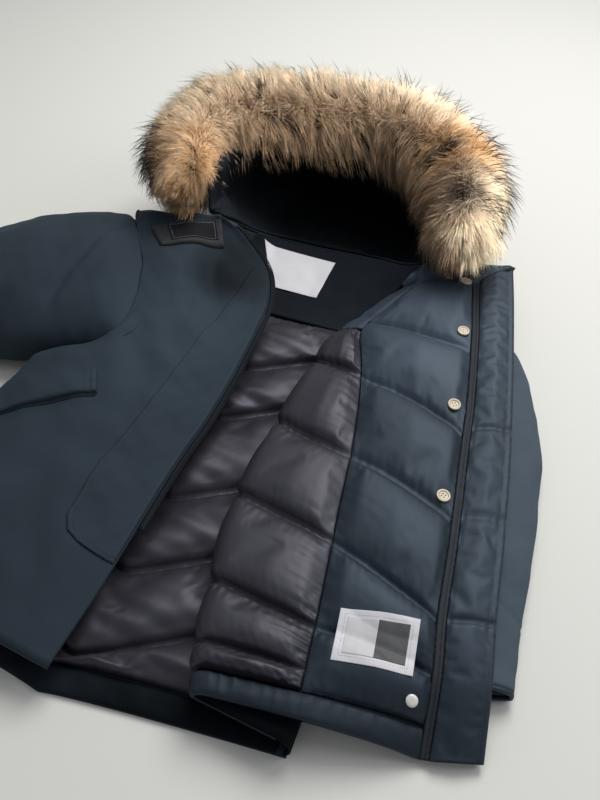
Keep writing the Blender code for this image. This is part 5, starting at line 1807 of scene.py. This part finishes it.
def hairs(name, line, width, colours, bends=2):
    """One mesh of blades through four rows of points; the plainer ones have one bend."""
    count = len(line[0])
    along = line[2] - line[0]
    across = unit(np.cross(along, np.array([0.3, -0.5, 0.8])))
    lifted = np.cross(unit(along), across)
    root, middle, tip = colours
    if bends == 2:
        rings = ((line[1], 1.0, 0.55), (line[2], 0.72, 1.0))
    else:
        rings = ((mix(line[1], line[2], 0.4), 1.0, 0.8),)
    points, tint = [line[0]], [root]
    for places, share, toned in rings:
        for turn in (0.0, 2.094, 4.189):
            aside = across * math.cos(turn) + lifted * math.sin(turn)
            points.append(places + aside * (width * share)[:, None])
            tint.append(mix(root, middle, toned))
    points = np.stack([*points, line[3]], 1).reshape(-1, 3)
    tint = np.stack([*tint, tip], 1).reshape(-1, 3)
    faces = []
    for k in range(3):
        m = (k + 1) % 3
        faces.append((0, 1 + m, 1 + k))
        for low in range(1, 3 * bends - 2, 3):
            faces += [(low + k, low + m, low + 3 + k), (low + m, low + 3 + m, low + 3 + k)]
        faces.append((3 * bends - 2 + k, 3 * bends - 2 + m, 3 * bends + 1))
    each = 2 + 3 * bends
    faces = (np.arange(count)[:, None, None] * each + np.array(faces)[None]).reshape(-1, 3)
    first = points[faces[: 6 * bends]] - points[0]
    if np.einsum("ij,ij->i", first[:, 0], np.cross(first[:, 1], first[:, 2])).sum() < 0:
        faces = faces[:, ::-1]
    piece = mesh_from(name, points, faces, None, np.clip(tint, 0, 1))
    print(name, count, "hairs,", len(faces), "triangles, z up to", round(float(points[:, 2].max()), 1))
    return dress(piece, FUR)


def comb(u, phi, rng):
    """How far each lock leans along the roll and round it, in shares of its length and in degrees."""
    side = phi - parting(u)
    away = np.tanh(side / 14 + 0.8 * rng.normal(size=len(u)))
    dphi = away * (34 + 12 * rng.normal(size=len(u))) * (1 + 0.35 * np.clip((side - 20) / 50, 0, 1))
    drift = np.interp(u, [0, 0.08, 0.2, 0.35, 0.6, 0.78, 0.9, 1.0], [-14, -24, 2, 28, 40, 22, 18, 34])
    turned = np.interp(u, [0, 0.15, 0.3, 0.6, 0.85, 1], [1, 1, -1.1, -0.8, 0.6, 1])
    drift = np.where(side > 0, drift * turned, drift)
    swirl = 17 * waves(np.stack([u * FUR_LENGTH, phi * 1.1], -1), 110, 92) + 13 * rng.normal(size=len(u))
    return (drift + swirl) / FUR_LENGTH, dphi


LOCK_SPREAD, DRAWN = 5.0, 0.38


def locks_of_fur(name, locks, each, seed, first, last, stand=1.0, bends=2):
    """Hair in locks over part of the roll: each lock shares its comb, length and shade."""
    rng = np.random.default_rng(seed)
    u = rng.uniform(-0.002, 1.002, locks)
    phi = parting(u) + rng.uniform(first, last, locks)
    du, dphi = comb(u, phi, rng)
    dphi *= stand
    shade = np.clip(0.5 + 0.6 * rng.normal(size=locks), -0.2, 1.2)
    long = rng.uniform(0.86, 1.05, locks) + 0.08 * (rng.random(locks) < 0.12)
    side = phi - parting(u)
    over_hood = np.clip((-side - 30) / 45, 0, 1) * np.clip(np.minimum(u + 0.02, 1 - u) / 0.03, 0, 1)
    long += over_hood * (0.24 + 0.2 * np.clip((0.12 - u) / 0.08, 0, 1))
    droop = 20 * over_hood + 3 * np.clip(1 - u / 0.08, 0, 1) + 10 * np.clip(1 - (1 - u) / 0.08, 0, 1)
    long -= 0.16 * np.clip(1 - u / 0.05, 0, 1)
    owner = np.repeat(np.arange(locks), each)
    count = len(owner)
    radius = roll_radius(u)[owner]
    spot = rng.normal(size=(count, 2)) * LOCK_SPREAD
    spot_u, spot_phi = spot[:, 0] / FUR_LENGTH, np.degrees(spot[:, 1] / (0.6 * radius))
    hair_u, hair_phi = u[owner] + spot_u, phi[owner] + spot_phi
    hair_du = du[owner] - spot_u * DRAWN + 5.0 * rng.normal(size=count) / FUR_LENGTH
    hair_dphi = dphi[owner] - spot_phi * DRAWN + 4.5 * rng.normal(size=count)
    high = radius * long[owner] * rng.uniform(0.84, 1.07, count)
    width = rng.uniform(0.24, 0.42, count)
    colours = hair_colours(hair_u, hair_phi, shade[owner], rng)
    line = combed(hair_u, hair_phi, hair_du, hair_dphi, radius * 0.56, high, droop[owner])
    return hairs(name, line, width, colours, bends)


locks_of_fur("fur_inner_hair", 1150, 13, 301, -118, 4)
locks_of_fur("fur_crest_hair", 520, 13, 304, -14, 14, 0.55)
locks_of_fur("fur_outer_hair", 1180, 13, 302, -4, 100, bends=1)
locks_of_fur("fur_back_hair", 900, 13, 303, 96, 245, bends=1)


# %% Ends of the roll, and the stiff black hairs
def end_of_roll(name, at, locks, each, seed, long):
    """Hair over one end of the roll: it fans out from the end of the parting, down over the rounded end."""
    rng = np.random.default_rng(seed)
    inner = np.repeat(np.sqrt(rng.random(locks)), each) + 0.04 * rng.normal(size=locks * each)
    inner = np.clip(np.abs(inner), 0, 1)
    phi = np.repeat(rng.uniform(-180, 180, locks), each) + 5 * rng.normal(size=locks * each)
    count = len(phi)
    radius = float(read(FUR_ROLL, "r", at))
    dome = 0.5 * radius * np.sqrt(np.maximum(1 - inner**2, 0))
    way = 1 if at else -1
    root = fur_point(at + way * dome / FUR_LENGTH, phi, 0.58 * radius * inner)
    middle = fur_point(np.array([float(at)]), np.array([0.0]), np.array([0.0]))
    normal = unit(root - middle)
    crest = fur_point(np.array([float(at)]), np.array([float(parting(at))]), np.array([0.75 * radius]))
    apart = root - crest
    apart = unit(apart - (apart * normal).sum(-1, keepdims=True) * normal)
    aside = 0.22 * np.repeat(rng.normal(size=(locks, 3)), each, axis=0) + 0.07 * rng.normal(size=(count, 3))
    reach = long * np.repeat(rng.uniform(0.75, 1.1, locks), each)
    reach *= rng.uniform(0.85, 1.05, count)
    line = []
    for t in STEPS:
        out, over = (reach * 0.50 * t**0.8)[:, None], (reach * 0.85 * t**1.3)[:, None]
        places = root + normal * out + (apart + aside) * over
        places[:, 2] -= 7 * t**2
        line.append(places)
    shade = np.repeat(np.clip(0.5 + 0.42 * rng.normal(size=locks), 0, 1), each)
    side = 60 * np.cos(np.radians(phi - 140)) + (80 if at else 40)
    colours = hair_colours(np.full(count, float(at)), side, shade, rng)
    return hairs(name, line, rng.uniform(0.24, 0.42, count), colours)


end_of_roll("fur_left_end_hair", 1, 360, 13, 311, 46)
end_of_roll("fur_right_end_hair", 0, 300, 13, 312, 25)

rng = np.random.default_rng(313)
count = 1200
u = np.concatenate([rng.uniform(-0.002, 0.16, 260), rng.uniform(0.30, 0.70, 240), rng.uniform(0.66, 1.0, 700)])
phi = rng.uniform(105, 205, count)
radius = roll_radius(u)
du, dphi = comb(u, phi, rng)
black = np.full((count, 3), 0.012)
tall = radius + rng.uniform(4, 21, count)
guard = combed(u, phi, du, dphi * 0.7, radius * 0.58, tall, 0 * u)
hairs("fur_guard_hair", guard, np.full(count, 0.5), (black * 3, black, black), 1)


# %% [markdown]
# ## Floor, light and camera
# A pale floor and wide, soft lights from above and behind keep every fold readable. The cloth is close to
# black and the fur is pale, so two of the lights reach only the fur.

# %% Floor
bpy.ops.object.select_all(action="DESELECT")
bpy.ops.mesh.primitive_plane_add(size=8, location=(0, 0, -0.0006))
floor = bpy.context.object
floor.name = "floor"
pale = bpy.data.materials.new("floor_pale")
pale.use_nodes = True
pale.node_tree.nodes["Principled BSDF"].inputs["Base Color"].default_value = (0.605, 0.607, 0.58, 1)
pale.node_tree.nodes["Principled BSDF"].inputs["Roughness"].default_value = 0.9
floor.data.materials.append(pale)

# %% Light
world = bpy.data.worlds.new("studio")
world.use_nodes = True
world.node_tree.nodes["Background"].inputs["Color"].default_value = (0.95, 0.97, 1.0, 1)
world.node_tree.nodes["Background"].inputs["Strength"].default_value = 0.36
bpy.context.scene.world = world


def soft_light(name, place, target, size, power, colour):
    lamp = bpy.data.lights.new(name, "AREA")
    lamp.shape = "DISK"
    lamp.size = size
    lamp.energy = power
    lamp.color = colour
    holder = bpy.data.objects.new(name, lamp)
    holder.location = place
    holder.rotation_euler = (Vector(target) - Vector(place)).to_track_quat("-Z", "Y").to_euler()
    bpy.context.scene.collection.objects.link(holder)
    return holder


soft_light("key", (0.3, 1.3, 1.95), (0.0, 0.05, 0), 1.6, 52, (1.0, 0.98, 0.95))
soft_light("side", (1.5, 0.35, 1.5), (0.2, 0, 0), 1.0, 9, (0.97, 0.98, 1.0))
fur_lights = (
    soft_light("fur_light", (1.1, -0.1, 1.2), (0.05, 0.5, 0.1), 1.1, 33, (1.0, 0.97, 0.93)),
    soft_light("fur_side_light", (1.5, 0.4, 0.75), (0.2, 0.45, 0.1), 0.9, 33, (1.0, 0.98, 0.95)),
)
trim = bpy.data.collections.new("lit_fur")
for piece in list(bpy.context.scene.objects):
    if piece.name.startswith("fur_") and piece.type == "MESH":
        trim.objects.link(piece)
for lamp in fur_lights:
    lamp.light_linking.receiver_collection = trim

# %% Camera
lens = bpy.data.cameras.new("view")
lens.sensor_fit = "VERTICAL"
lens.sensor_height = 36
lens.lens = 35
lens.clip_start = 0.01
camera = bpy.data.objects.new("view", lens)
bpy.context.scene.collection.objects.link(camera)
turn, tilt = math.radians(21), math.radians(47.5)
look = Vector((-math.sin(turn) * math.cos(tilt), math.cos(turn) * math.cos(tilt), -math.sin(tilt)))
camera.location = (0.3558, -0.5888, 0.80)
camera.rotation_euler = look.to_track_quat("-Z", "Y").to_euler()
bpy.context.scene.camera = camera
bpy.context.scene.view_settings.view_transform = "Standard"
